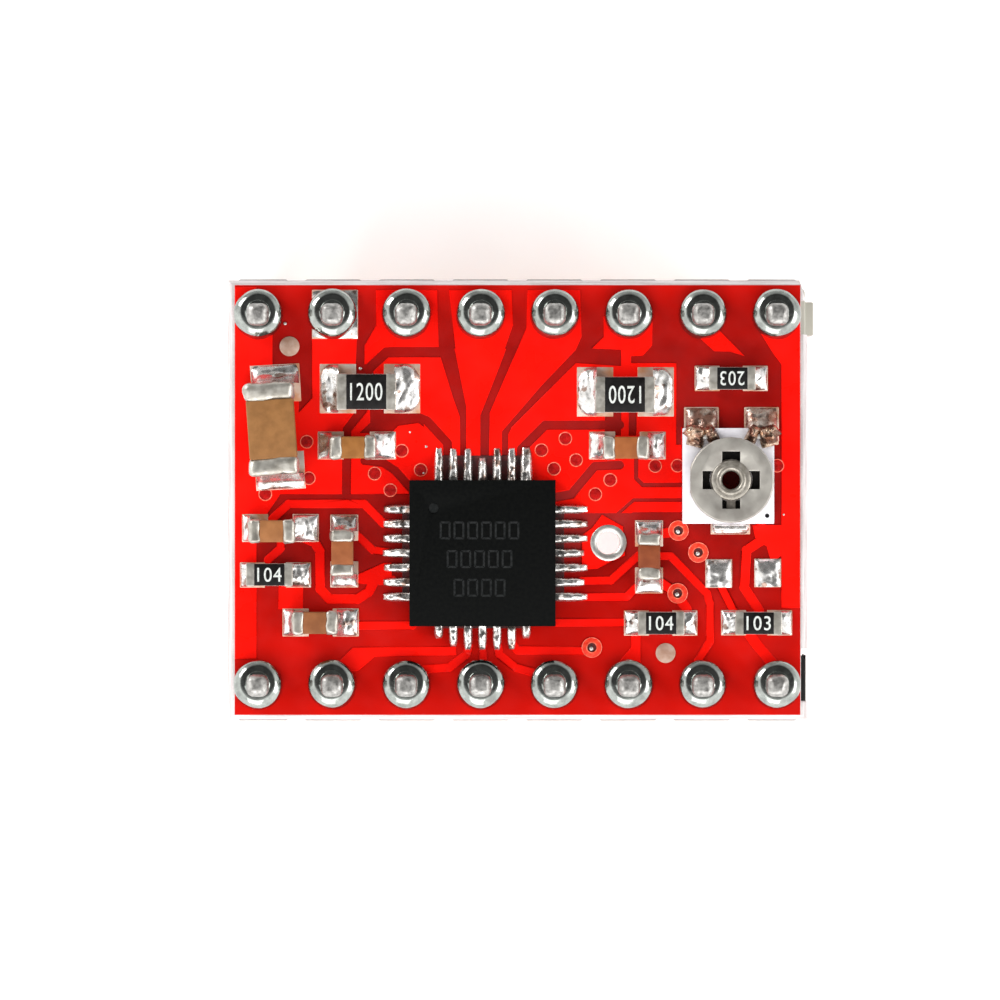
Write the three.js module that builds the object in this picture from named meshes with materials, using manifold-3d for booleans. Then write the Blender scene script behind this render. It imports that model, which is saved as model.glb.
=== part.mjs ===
// Stepper driver module: a small circuit board on two eight-pin headers, with a square driver chip,
// chip resistors and capacitors, and a screwdriver-turned trimmer that sets the motor current.
//
// Units are millimetres. +Z is up, +X runs along the pin rows and +Y points to the power row.
// The origin is the middle of the module on the plane of the pin tips.

import * as THREE from "three";
import { mergeVertices } from "three/addons/utils/BufferGeometryUtils.js";
import Module from "manifold-3d";

const wasm = await Module();
wasm.setup();

// ---------------------------------------------------------------- driving dimensions

const PIN_PITCH = 2.54;
const PINS_PER_ROW = 8;
const ROW_SPACING = 12.7;
const PIN = {
  side: 0.64,
  drop: 6.0, // length below the plastic strip
  rise: 3.0, // length above the plastic strip
  point: { side: 0.34, taper: 0.55 },
  crown: { side: 0.48, taper: 0.25 },
};

// The plastic strip of a header. Its outline is notched between pins, where it snaps to length.
const STRIP = {
  height: 2.54,
  width: 2.5,
  overhang: 1.02, // plastic beyond the last pin's axis
  notch: { along: 0.32, across: 0.42 },
  nubMargin: 0.35, // from the strip's top and bottom to those of the nub at its snapped end
};

const BOARD = {
  length: 19.9,
  width: 15.1,
  thickness: 1.6,
  score: { depth: 0.55, inset: 0.16 }, // the V-score that each edge was snapped along
  pinHole: 0.55,
  testHole: { at: [3.12, -1.47], radius: 0.45 },
  snapped: { depth: 0.23, spans: [[-6.92, -5.1], [5.68, 6.85]] }, // where a breakaway tab tore the edge
  brokenCorner: { along: 0.3, down: 0.93 },
};

const CLEARANCE = 0.01; // between pieces that are fixed to each other
const RUNNING_GAP = 0.02; // between pieces that turn on each other
const OVERCUT = 1; // how far a cutting tool runs past the face that it opens

const STRIP_Z = PIN.drop;
const BOARD_Z = STRIP_Z + STRIP.height;
const TOP_Z = BOARD_Z + BOARD.thickness;
const PIN_LENGTH = BOARD_Z + PIN.rise;

const CHIP_CENTRE = [-1.2, -1.82];
const TRIMMER_CENTRE = [7.3, 0.68];

// The two pin rows, each with the nub that is left where its strip was snapped off.
const ROWS = [
  { name: "power", y: ROW_SPACING / 2, nub: { reach: 0.3, width: 1.15, shift: -0.1 } },
  { name: "logic", y: -ROW_SPACING / 2, nub: { reach: 0.04, width: 1.6, shift: 0.2 } },
];

// ---------------------------------------------------------------- materials

function finish(color, roughness, metalness = 0) {
  return new THREE.MeshStandardMaterial({ color, roughness, metalness });
}

const MATERIALS = {
  solderMask: finish(0xd4160c, 0.35),
  blackPlastic: finish(0x121212, 0.5),
  pinMetal: finish(0xc9a650, 0.3, 1),
  solder: finish(0xc9cacb, 0.25, 1),
  mouldCompound: finish(0x151617, 0.6),
  leadframe: finish(0xb9bcc0, 0.35, 1),
  silicon: finish(0x4a4d58, 0.2, 0.4),
  alumina: finish(0xf1efea, 0.5),
  cermet: finish(0x1b1a19, 0.6),
  trimmerMetal: finish(0xb8b5ae, 0.35, 1),
  resistorCoat: finish(0x161513, 0.45),
  capacitorCeramic: finish(0xa8703e, 0.6),
};

// ---------------------------------------------------------------- solids

/** A closed three.js geometry as a solid that can be joined and cut. */
function solidOf(geometry) {
  const bare = geometry.clone();
  bare.deleteAttribute("normal");
  bare.deleteAttribute("uv");
  const merged = mergeVertices(bare, 1e-5);
  return new wasm.Manifold(
    new wasm.Mesh({
      numProp: 3,
      vertProperties: merged.getAttribute("position").array,
      triVerts: new Uint32Array(merged.index.array),
    }),
  );
}

/** A solid as a flat-shaded three.js geometry. */
function geometryOf(solid) {
  const mesh = solid.getMesh();
  const positions = new Float32Array(mesh.numVert * 3);
  for (let i = 0; i < mesh.numVert; i++) {
    const start = i * mesh.numProp;
    positions.set(mesh.vertProperties.subarray(start, start + 3), i * 3);
  }
  const indexed = new THREE.BufferGeometry()
    .setAttribute("position", new THREE.BufferAttribute(positions, 3))
    .setIndex(new THREE.BufferAttribute(mesh.triVerts, 1));
  const geometry = indexed.toNonIndexed();
  geometry.computeVertexNormals();
  return geometry;
}

/** A box between two levels, centred on (x, y). */
function slab(width, depth, low, high, x = 0, y = 0) {
  const box = new THREE.BoxGeometry(width, depth, high - low);
  return solidOf(box.translate(x, y, (low + high) / 2));
}

/** A box given by its two ends on each axis. */
function block([x0, x1], [y0, y1], [z0, z1]) {
  return slab(x1 - x0, y1 - y0, z0, z1, (x0 + x1) / 2, (y0 + y1) / 2);
}

/** A turned solid about the Z axis from [radius, height] points, which start and end on the axis. */
function turned(profile, segments) {
  const points = profile.map(([radius, height]) => new THREE.Vector2(radius, height));
  return solidOf(new THREE.LatheGeometry(points, segments).rotateX(Math.PI / 2));
}

/** A plain round bar between two levels, centred on (x, y). */
function rod(radius, low, high, segments, x = 0, y = 0) {
  const bar = turned([[0, low], [radius, low], [radius, high], [0, high]], segments);
  return bar.translate([x, y, 0]);
}

/** A flat outline pushed up between two levels. */
function extruded(shape, low, high, curveSegments = 12) {
  const options = { depth: high - low, bevelEnabled: false, curveSegments };
  return solidOf(new THREE.ExtrudeGeometry(shape, options).translate(0, 0, low));
}

function join(solids) {
  return solids.reduce((sum, next) => sum.add(next));
}

function cut(solid, tools) {
  return tools.reduce((left, tool) => left.subtract(tool), solid);
}

/** A named mesh of one solid, added to its group. */
function addPiece(group, name, solid, material) {
  const mesh = new THREE.Mesh(geometryOf(solid), material);
  mesh.name = name;
  group.add(mesh);
  return mesh;
}

/** Where the pins of a row stand along X. */
function pinPositions() {
  return Array.from({ length: PINS_PER_ROW }, (_, i) => (i - (PINS_PER_ROW - 1) / 2) * PIN_PITCH);
}

// ---------------------------------------------------------------- board

const ROUND_SEGMENTS = 16; // a multiple of 8, so that a square pin's corners meet corners of the round
const FINE_SEGMENTS = 24;

function rectangle(width, depth) {
  return new THREE.Shape([
    new THREE.Vector2(-width / 2, -depth / 2),
    new THREE.Vector2(width / 2, -depth / 2),
    new THREE.Vector2(width / 2, depth / 2),
    new THREE.Vector2(-width / 2, depth / 2),
  ]);
}

/** The laminate with its scored edges, its plated pin holes and one larger plated hole. */
function circuitBoard() {
  const { length, width, thickness, score, pinHole, testHole } = BOARD;
  const face = rectangle(length - 2 * score.inset, width - 2 * score.inset);
  const laminate = new THREE.ExtrudeGeometry(face, {
    depth: thickness - 2 * score.depth,
    bevelThickness: score.depth,
    bevelSize: score.inset,
    bevelSegments: 1,
  }).translate(0, 0, BOARD_Z + score.depth);

  const through = [BOARD_Z - OVERCUT, TOP_Z + OVERCUT];
  const holes = ROWS.flatMap((row) =>
    pinPositions().map((x) => rod(pinHole, ...through, ROUND_SEGMENTS, x, row.y)),
  );
  holes.push(rod(testHole.radius, ...through, FINE_SEGMENTS, ...testHole.at));
  return cut(solidOf(laminate), [...holes, ...tornEdges(through)]);
}

/** Cutters for the two spots where a breakaway tab tore the right edge, and for its broken corner. */
function tornEdges(through) {
  const { length, width, snapped, brokenCorner } = BOARD;
  const [right, far] = [length / 2, width / 2];
  const tears = snapped.spans.map((span) => block([right - snapped.depth, right + OVERCUT], span, through));
  const corner = new THREE.Shape([
    new THREE.Vector2(right, far - brokenCorner.down),
    new THREE.Vector2(right + OVERCUT, far - brokenCorner.down),
    new THREE.Vector2(right + OVERCUT, far + OVERCUT),
    new THREE.Vector2(right - brokenCorner.along, far + 0.1),
  ]);
  return [...tears, extruded(corner, ...through)];
}

// ---------------------------------------------------------------- pin headers

const PIN_SLOT = PIN.side + 2 * CLEARANCE;

/** The strip's lower edge from its left end to its right end, as [x, distance off the middle line]. */
function stripEdge() {
  const { width, overhang, notch } = STRIP;
  const centres = pinPositions();
  const first = centres[0] - overhang;
  const last = centres.at(-1) + overhang;
  const breaks = centres.slice(1).map((x) => x - PIN_PITCH / 2);
  const teeth = breaks.flatMap((x) => [
    [x - notch.along, width / 2],
    [x, width / 2 - notch.across],
    [x + notch.along, width / 2],
  ]);
  return [
    [first, width / 2 - notch.across],
    [first + notch.along, width / 2],
    ...teeth,
    [last - notch.along, width / 2],
    [last, width / 2 - notch.across],
  ];
}

function headerStrip({ y, nub }) {
  const edge = stripEdge();
  const lower = edge.map(([x, off]) => new THREE.Vector2(x, -off));
  const upper = edge.toReversed().map(([x, off]) => new THREE.Vector2(x, off));
  const strip = extruded(new THREE.Shape([...lower, ...upper]), STRIP_Z, BOARD_Z);

  const end = edge.at(-1)[0];
  const nubY = [nub.shift - nub.width / 2, nub.shift + nub.width / 2];
  const nubZ = [STRIP_Z + STRIP.nubMargin, BOARD_Z - STRIP.nubMargin];
  const snappedEnd = block([end - nub.reach, end + nub.reach], nubY, nubZ);
  const slots = pinPositions().map((x) =>
    slab(PIN_SLOT, PIN_SLOT, STRIP_Z - OVERCUT, BOARD_Z + OVERCUT, x),
  );
  return cut(join([strip, snappedEnd]), slots).translate([0, y, 0]);
}

/** A square pin, drawn to a blunt point at its lower end and chamfered at its upper end. */
function headerPin() {
  const { side, point, crown } = PIN;
  const cornerRadius = (width) => width * Math.SQRT1_2;
  const profile = [
    [0, 0],
    [cornerRadius(point.side), 0],
    [cornerRadius(side), point.taper],
    [cornerRadius(side), PIN_LENGTH - crown.taper],
    [cornerRadius(crown.side), PIN_LENGTH],
    [0, PIN_LENGTH],
  ];
  return turned(profile, 4).rotate([0, 0, 45]);
}

// The dome's [share of its radius, share of its height], from the board up.
const SOLDER = {
  barrelRadius: BOARD.pinHole - RUNNING_GAP,
  domeRadius: 0.8,
  domeHeight: 0.86,
  dome: [[1, 0], [0.985, 0.35], [0.9, 0.6], [0.72, 0.8], [0.58, 0.9], [0.55, 1]],
};

/** The solder of one pin: a barrel that fills the plated hole and a dome on the board. */
function solderJoint() {
  const { barrelRadius, domeRadius, domeHeight, dome } = SOLDER;
  const profile = [
    [0, BOARD_Z],
    [barrelRadius, BOARD_Z],
    [barrelRadius, TOP_Z],
    ...dome.map(([radius, height]) => [radius * domeRadius, TOP_Z + height * domeHeight]),
    [0, TOP_Z + domeHeight],
  ];
  const slot = slab(PIN_SLOT, PIN_SLOT, BOARD_Z - OVERCUT, TOP_Z + domeHeight + OVERCUT);
  return turned(profile, ROUND_SEGMENTS).subtract(slot);
}

function addHeaders(group) {
  for (const row of ROWS) {
    addPiece(group, `${row.name}_header_strip`, headerStrip(row), MATERIALS.blackPlastic);
    for (const [i, x] of pinPositions().entries()) {
      const pin = headerPin().translate([x, row.y, 0]);
      const joint = solderJoint().translate([x, row.y, 0]);
      addPiece(group, `${row.name}_pin_${i + 1}`, pin, MATERIALS.pinMetal);
      addPiece(group, `${row.name}_solder_joint_${i + 1}`, joint, MATERIALS.solder);
    }
  }
}

// ---------------------------------------------------------------- driver chip

const CHIP = {
  side: 5.0,
  height: 0.9,
  dimple: { at: [-1.67, 1.54], radius: 0.2, depth: 0.06 }, // marks the first lead
};
const PADDLE = { side: 3.15, thickness: 0.2, tieBar: 0.25, tieBarReach: 3.2 };
const DIE = { length: 2.6, width: 2.2, thickness: 0.28 };

/** The die paddle with its four corner tie bars, grown by a gap for the pocket that it sits in. */
function diePaddle(gap = 0) {
  const { side, thickness, tieBar, tieBarReach } = PADDLE;
  const high = thickness + gap;
  const bars = [45, -45].map((angle) =>
    slab(2 * (tieBarReach + gap), tieBar + 2 * gap, 0, high).rotate([0, 0, angle]),
  );
  return join([slab(side + 2 * gap, side + 2 * gap, 0, high), ...bars]);
}

function chipDie(gap = 0) {
  const low = PADDLE.thickness + CLEARANCE - gap;
  const high = PADDLE.thickness + CLEARANCE + DIE.thickness + gap;
  return slab(DIE.length + 2 * gap, DIE.width + 2 * gap, low, high);
}

function chipBody() {
  const { side, height, dimple } = CHIP;
  const mark = rod(dimple.radius, height - dimple.depth, height + OVERCUT, ROUND_SEGMENTS, ...dimple.at);
  const pocket = diePaddle(CLEARANCE);
  const cavity = chipDie(2 * CLEARANCE);
  return cut(slab(side, side, 0, height), [mark, pocket, cavity]);
}

function driverChip() {
  const group = new THREE.Group();
  group.position.set(...CHIP_CENTRE, TOP_Z);
  addPiece(group, "driver_chip_body", chipBody(), MATERIALS.mouldCompound);
  addPiece(group, "driver_chip_paddle", diePaddle(), MATERIALS.leadframe);
  addPiece(group, "driver_chip_die", chipDie(), MATERIALS.silicon);
  return group;
}

// ---------------------------------------------------------------- chip resistors and capacitors

const RESISTOR_0805 = { length: 2.05, width: 1.25, height: 0.5, cap: 0.4 };
const RESISTOR_0603 = { length: 1.6, width: 0.8, height: 0.45, cap: 0.32 };
const CAPACITOR_1206 = { length: 3.2, width: 1.6, height: 1.5, cap: 0.55 };
const CAPACITOR_0603 = { length: 1.6, width: 0.8, height: 0.8, cap: 0.4 };

const RESISTORS = [
  { name: "sense_resistor_left", size: RESISTOR_0805, at: [-5.18, 3.71], turn: 0 },
  { name: "sense_resistor_right", size: RESISTOR_0805, at: [3.68, 3.61], turn: 180 },
  { name: "reference_resistor", size: RESISTOR_0603, at: [7.36, 4.17], turn: 180 },
  { name: "sleep_pullup_resistor", size: RESISTOR_0603, at: [-8.5, -2.56], turn: 0 },
  { name: "enable_pulldown_resistor", size: RESISTOR_0603, at: [4.92, -4.22], turn: 0 },
  { name: "oscillator_resistor", size: RESISTOR_0603, at: [8.26, -4.22], turn: 0 },
];

const CAPACITORS = [
  { name: "bulk_capacitor", size: CAPACITOR_1206, at: [-8.41, 2.42], turn: 94 },
  { name: "motor_supply_capacitor_left", size: CAPACITOR_0603, at: [-5.63, 1.8], turn: 0 },
  { name: "motor_supply_capacitor_right", size: CAPACITOR_0603, at: [3.72, 1.79], turn: 0 },
  { name: "charge_pump_capacitor", size: CAPACITOR_0603, at: [-8.42, -1.07], turn: 0 },
  { name: "reservoir_capacitor", size: CAPACITOR_0603, at: [-6.0, -1.81], turn: 90 },
  { name: "regulator_capacitor", size: CAPACITOR_0603, at: [-6.94, -4.21], turn: 0 },
  { name: "logic_supply_capacitor", size: CAPACITOR_0603, at: [4.51, -1.94], turn: 90 },
];

const CAP_STEP = 0.02; // how far a metal end cap stands proud of the ceramic

/** A two-ended chip: a ceramic block between two slightly thicker end caps. */
function chipComponent({ length, width, height, cap }) {
  const ceramic = slab(length - cap, width - 2 * CAP_STEP, CAP_STEP, height - CAP_STEP);
  const ends = [-1, 1].map((end) => slab(cap, width, 0, height, (end * (length - cap)) / 2, 0));
  return join([ceramic, ...ends]);
}

function addChipComponents(group, list, material) {
  for (const { name, size, at, turn } of list) {
    const mesh = addPiece(group, name, chipComponent(size), material);
    mesh.position.set(...at, TOP_Z);
    mesh.rotation.z = THREE.MathUtils.degToRad(turn);
  }
}

// ---------------------------------------------------------------- trimmer

// Heights are above the board, and plan positions are from the rotor's axis.
const TRIMMER = {
  strap: 0.12, // thickness of the terminals' metal
  base: { x: [-1.65, 1.48], y: [-1.49, 1.78], top: 0.85 },
  track: { inner: 0.74, outer: 1.28, thickness: 0.03, halfGap: 12 },
  neck: { bore: 0.31, radius: 0.38 },
  flange: { radius: 0.58, thickness: 0.08, round: 0.03 },
  wiper: { lift: 0.05, thickness: 0.08, hub: 0.72, arm: 0.3, reach: 1.24, contact: 1.08, dimple: 0.1 },
  rotor: { radius: 1.47, chamfer: 0.05, thickness: 0.3, floor: 0.16, dish: 1.02, flat: 1.4 },
  slot: { length: 1.96, width: 0.62 },
  endTerminal: { inner: 0.62, outer: 1.4, leg: 1.42, riser: 1.58, foot: 2.35 },
  wiperTerminal: { halfWidth: 0.62, foot: 1.8, tabHeight: 0.55 },
};

const BASE_TOP = TRIMMER.base.top;
const TRACK_TOP = BASE_TOP + TRIMMER.track.thickness;
const WIPER_LOW = TRACK_TOP + TRIMMER.wiper.lift;
const ROTOR_LOW = WIPER_LOW + TRIMMER.wiper.thickness;
const DISH_FLOOR = ROTOR_LOW + TRIMMER.rotor.floor;
const ROTOR_HIGH = ROTOR_LOW + TRIMMER.rotor.thickness;
const FLANGE_LOW = DISH_FLOOR + RUNNING_GAP;
const FLANGE_HIGH = FLANGE_LOW + TRIMMER.flange.thickness;
const ALL_HEIGHTS = [-OVERCUT, FLANGE_HIGH + OVERCUT];

/** A round hole for the eyelet's neck, through everything. */
function neckBore(gap) {
  return rod(TRIMMER.neck.radius + gap, ...ALL_HEIGHTS, FINE_SEGMENTS);
}

/** The ceramic base, notched at two corners for the end terminals and bored for the eyelet. */
function trimmerBase() {
  const { base, strap, endTerminal } = TRIMMER;
  const notchY = [endTerminal.riser - CLEARANCE, base.y[1] + OVERCUT];
  const inner = endTerminal.inner - CLEARANCE;
  const outer = endTerminal.outer + CLEARANCE;
  return cut(block(base.x, base.y, [strap + RUNNING_GAP, BASE_TOP]), [
    block([-outer, -inner], notchY, ALL_HEIGHTS),
    block([inner, outer], notchY, ALL_HEIGHTS),
    neckBore(CLEARANCE),
  ]);
}

/** The horseshoe of resistive film, open towards the end terminals. */
function trimmerTrack() {
  const { inner, outer, halfGap } = TRIMMER.track;
  const start = THREE.MathUtils.degToRad(90 + halfGap);
  const end = THREE.MathUtils.degToRad(450 - halfGap);
  const horseshoe = new THREE.Shape();
  horseshoe.absarc(0, 0, outer, start, end, false);
  horseshoe.absarc(0, 0, inner, end, start, true);
  return extruded(horseshoe, BASE_TOP, TRACK_TOP, FINE_SEGMENTS);
}

/** An end terminal: a foot on the board, a riser in the base's notch and a leg over the ceramic. */
function endTerminal(side) {
  const { strap } = TRIMMER;
  const { inner, outer, leg, riser, foot } = TRIMMER.endTerminal;
  const x = side < 0 ? [-outer, -inner] : [inner, outer];
  const legZ = [BASE_TOP + CLEARANCE, BASE_TOP + CLEARANCE + strap];
  return join([
    block(x, [riser, foot], [0, strap]),
    block(x, [riser, riser + strap], [0, legZ[1]]),
    block(x, [leg, riser + strap], legZ),
  ]);
}

/** The wiper terminal: a strap under the base that holds the eyelet and turns up at the far edge. */
function wiperTerminal() {
  const { base, strap } = TRIMMER;
  const { halfWidth, foot, tabHeight } = TRIMMER.wiperTerminal;
  const x = [-halfWidth, halfWidth];
  const edge = base.y[0] - RUNNING_GAP;
  const plate = block(x, [-foot, halfWidth], [0, strap]);
  const tab = block(x, [edge - strap, edge], [0, tabHeight]);
  return cut(join([plate, tab]), [neckBore(CLEARANCE)]);
}

/** The hollow eyelet that the rotor turns on, flared over the rotor's dish. */
function trimmerEyelet() {
  const { neck, flange } = TRIMMER;
  const profile = [
    [0, 0],
    [neck.radius, 0],
    [neck.radius, FLANGE_LOW],
    [flange.radius, FLANGE_LOW],
    [flange.radius, FLANGE_HIGH - flange.round],
    [flange.radius - flange.round, FLANGE_HIGH],
    [0, FLANGE_HIGH],
  ];
  return turned(profile, FINE_SEGMENTS).subtract(rod(neck.bore, ...ALL_HEIGHTS, FINE_SEGMENTS));
}

/** The contact spring under the rotor: a hub, one arm and a dimple that rides on the track. */
function trimmerWiper() {
  const { hub, arm, reach, contact, dimple } = TRIMMER.wiper;
  const sheet = [WIPER_LOW, ROTOR_LOW];
  const solids = [
    rod(hub, ...sheet, FINE_SEGMENTS),
    block([-arm / 2, arm / 2], [-reach, 0], sheet),
    rod(dimple, TRACK_TOP + CLEARANCE, ROTOR_LOW, FINE_SEGMENTS, 0, -contact),
  ];
  return cut(join(solids), [neckBore(RUNNING_GAP)]);
}

/** The dished rotor with a cross slot for a screwdriver and a flat on one side. */
function trimmerRotor() {
  const { radius, chamfer, dish, flat } = TRIMMER.rotor;
  const { length, width } = TRIMMER.slot;
  const profile = [
    [0, ROTOR_LOW],
    [radius - chamfer, ROTOR_LOW],
    [radius, ROTOR_LOW + chamfer],
    [radius, ROTOR_HIGH - chamfer],
    [radius - chamfer, ROTOR_HIGH],
    [dish, ROTOR_HIGH],
    [TRIMMER.flange.radius + 2 * RUNNING_GAP, DISH_FLOOR],
    [0, DISH_FLOOR],
  ];
  return cut(turned(profile, 2 * ROUND_SEGMENTS), [
    slab(length, width, ...ALL_HEIGHTS),
    slab(width, length, ...ALL_HEIGHTS),
    block([-radius - OVERCUT, -flat], [-radius - OVERCUT, radius + OVERCUT], ALL_HEIGHTS),
  ]);
}

function trimmer() {
  const group = new THREE.Group();
  group.position.set(...TRIMMER_CENTRE, TOP_Z);
  addPiece(group, "trimmer_base", trimmerBase(), MATERIALS.alumina);
  addPiece(group, "trimmer_track", trimmerTrack(), MATERIALS.cermet);
  addPiece(group, "trimmer_end_terminal_left", endTerminal(-1), MATERIALS.trimmerMetal);
  addPiece(group, "trimmer_end_terminal_right", endTerminal(1), MATERIALS.trimmerMetal);
  addPiece(group, "trimmer_wiper_terminal", wiperTerminal(), MATERIALS.trimmerMetal);
  addPiece(group, "trimmer_eyelet", trimmerEyelet(), MATERIALS.trimmerMetal);
  addPiece(group, "trimmer_wiper", trimmerWiper(), MATERIALS.trimmerMetal);
  addPiece(group, "trimmer_rotor", trimmerRotor(), MATERIALS.trimmerMetal);
  return group;
}

// ---------------------------------------------------------------- assembly

const driverModule = new THREE.Group();
addPiece(driverModule, "circuit_board", circuitBoard(), MATERIALS.solderMask);
addHeaders(driverModule);
driverModule.add(driverChip());
addChipComponents(driverModule, RESISTORS, MATERIALS.resistorCoat);
addChipComponents(driverModule, CAPACITORS, MATERIALS.capacitorCeramic);
driverModule.add(trimmer());

export default driverModule;
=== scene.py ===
"""Looks of a plug-in stepper driver module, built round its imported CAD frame.

Meshes are shaped in millimetres and scaled to metres as each piece is finished. Plans of the board
are in millimetres from the board's middle, with X along the pin rows and Y towards the power row.
"""

import logging
import math
import random
from dataclasses import dataclass, field
from enum import Enum
from typing import Iterable, Optional, Sequence, Union

import bmesh
import bpy
from bmesh.types import BMEdge, BMesh, BMFace, BMVert
from bpy.types import Material, Node, NodeSocket, Object
from mathutils import Matrix, Vector
from mathutils.geometry import delaunay_2d_cdt
from mathutils.noise import noise as noise_at


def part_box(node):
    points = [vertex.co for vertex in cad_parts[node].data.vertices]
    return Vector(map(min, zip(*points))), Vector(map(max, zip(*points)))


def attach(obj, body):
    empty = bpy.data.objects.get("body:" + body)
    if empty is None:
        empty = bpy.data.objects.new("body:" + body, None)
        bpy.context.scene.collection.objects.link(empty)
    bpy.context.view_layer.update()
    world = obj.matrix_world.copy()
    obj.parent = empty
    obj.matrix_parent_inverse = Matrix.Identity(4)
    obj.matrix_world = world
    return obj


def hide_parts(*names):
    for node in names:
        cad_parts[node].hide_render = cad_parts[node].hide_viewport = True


Point = tuple[float, float]
Triple = tuple[float, float, float]
Colour = Triple
Span = tuple[float, float]
Tint = Union[Colour, NodeSocket]

LOG = logging.getLogger("driver_module")
MM = 0.001
TO_METRES = Matrix.Scale(MM, 4)
TO_MILLIMETRES = Matrix.Scale(1 / MM, 4)
NOISE_SPAN: Span = (0.35, 0.65)

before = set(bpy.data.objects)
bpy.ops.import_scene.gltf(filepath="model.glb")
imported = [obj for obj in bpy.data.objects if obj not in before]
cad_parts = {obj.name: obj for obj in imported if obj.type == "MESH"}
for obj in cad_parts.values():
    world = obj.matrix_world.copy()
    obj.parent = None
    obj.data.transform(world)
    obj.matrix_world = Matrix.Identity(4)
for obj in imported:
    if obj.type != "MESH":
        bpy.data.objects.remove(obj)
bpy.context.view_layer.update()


class Body(Enum):
    """The bodies of the frame."""

    BOARD = "board"
    ROTOR = "rotor"


class Slot(Enum):
    """The record's material slots."""

    BOARD = "circuit_board"
    HEADER = "header_plastic"
    PINS = "header_pins"
    SOLDER = "solder"
    CHIP = "chip_body"
    LEADFRAME = "chip_leadframe"
    SILICON = "chip_silicon"
    RESISTORS = "resistors"
    CAPACITORS = "capacitors"
    TRIMMER_CERAMIC = "trimmer_ceramic"
    TRIMMER_FILM = "trimmer_film"
    TRIMMER_METAL = "trimmer_metal"


# ---------------------------------------------------------------- finishes


def srgb(red: int, green: int, blue: int) -> Colour:
    """Turn a display colour of 0 to 255 into linear light.

    Args:
        red: The red share.
        green: The green share.
        blue: The blue share.

    Returns:
        The same colour in linear light, from 0 to 1.
    """

    def linear(value: int) -> float:
        """One channel in linear light."""
        share = value / 255
        return share / 12.92 if share <= 0.04045 else ((share + 0.055) / 1.055) ** 2.4

    return linear(red), linear(green), linear(blue)


class Nodes:
    """The node tree of one material, with the nodes that the finishes share."""

    def __init__(self, name: str) -> None:
        """Start an empty material.

        Args:
            name: The material's name.
        """
        self.material: Material = bpy.data.materials.new(name)
        self.material.use_nodes = True
        self.tree = self.material.node_tree
        self.surface: Node = self.tree.nodes["Principled BSDF"]
        self.place: NodeSocket = self.add("ShaderNodeTexCoord").outputs["Object"]

    def add(self, kind: str, **settings: object) -> Node:
        """Add a node.

        Args:
            kind: The node's type.
            **settings: Properties to set on the node.

        Returns:
            The new node.
        """
        node = self.tree.nodes.new(kind)
        for key, value in settings.items():
            setattr(node, key, value)
        return node

    def join(self, source: NodeSocket, target: NodeSocket) -> None:
        """Link two sockets."""
        self.tree.links.new(source, target)

    def stretched(self, stretch: Triple) -> NodeSocket:
        """Object coordinates scaled along each axis.

        Args:
            stretch: The scale along X, Y and Z.

        Returns:
            The scaled coordinates.
        """
        mapping = self.add("ShaderNodeMapping")
        mapping.inputs["Scale"].default_value = stretch
        self.join(self.place, mapping.inputs["Vector"])
        return mapping.outputs["Vector"]

    def noise(self, size: float, detail: float = 3.0, stretch: Optional[Triple] = None) -> NodeSocket:
        """Cloudy noise.

        Args:
            size: The size of its largest features, in millimetres.
            detail: How many finer layers it has.
            stretch: A scale along each axis, for a pattern with a direction.

        Returns:
            A value of about 0.3 to 0.7.
        """
        texture = self.add("ShaderNodeTexNoise")
        texture.inputs["Scale"].default_value = 1 / (size * MM)
        texture.inputs["Detail"].default_value = detail
        self.join(self.stretched(stretch) if stretch else self.place, texture.inputs["Vector"])
        return texture.outputs["Fac"]

    def along(self, axis: str) -> NodeSocket:
        """One object coordinate, in metres.

        Args:
            axis: X, Y or Z.

        Returns:
            The coordinate.
        """
        parts = self.add("ShaderNodeSeparateXYZ")
        self.join(self.place, parts.inputs["Vector"])
        return parts.outputs[axis]

    def fit(self, value: NodeSocket, source: Span, target: Span = (0.0, 1.0)) -> NodeSocket:
        """Map one range onto another, and hold it there.

        Args:
            value: The value to map.
            source: The range that it comes from.
            target: The range that it goes to.

        Returns:
            The mapped value.
        """
        node = self.add("ShaderNodeMapRange", clamp=True)
        self.join(value, node.inputs["Value"])
        node.inputs["From Min"].default_value, node.inputs["From Max"].default_value = source
        node.inputs["To Min"].default_value, node.inputs["To Max"].default_value = target
        return node.outputs["Result"]

    def mix(self, share: NodeSocket, first: Tint, second: Tint) -> NodeSocket:
        """Mix two colours.

        Args:
            share: How much of the second colour shows.
            first: A colour, or a socket that gives one.
            second: The same.

        Returns:
            The mixed colour.
        """
        node = self.add("ShaderNodeMix", data_type="RGBA")
        self.join(share, node.inputs["Factor"])
        for name, colour in (("A", first), ("B", second)):
            socket = next(s for s in node.inputs if s.name == name and s.type == "RGBA")
            if isinstance(colour, tuple):
                socket.default_value = (*colour, 1.0)
            else:
                self.join(colour, socket)
        return next(s for s in node.outputs if s.type == "RGBA")

    def relief(self, height: NodeSocket, depth: float) -> None:
        """Give the surface a fine relief.

        Args:
            height: The pattern.
            depth: Its depth in millimetres.
        """
        bump = self.add("ShaderNodeBump")
        bump.inputs["Distance"].default_value = depth * MM
        self.join(height, bump.inputs["Height"])
        self.join(bump.outputs["Normal"], self.surface.inputs["Normal"])


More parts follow.
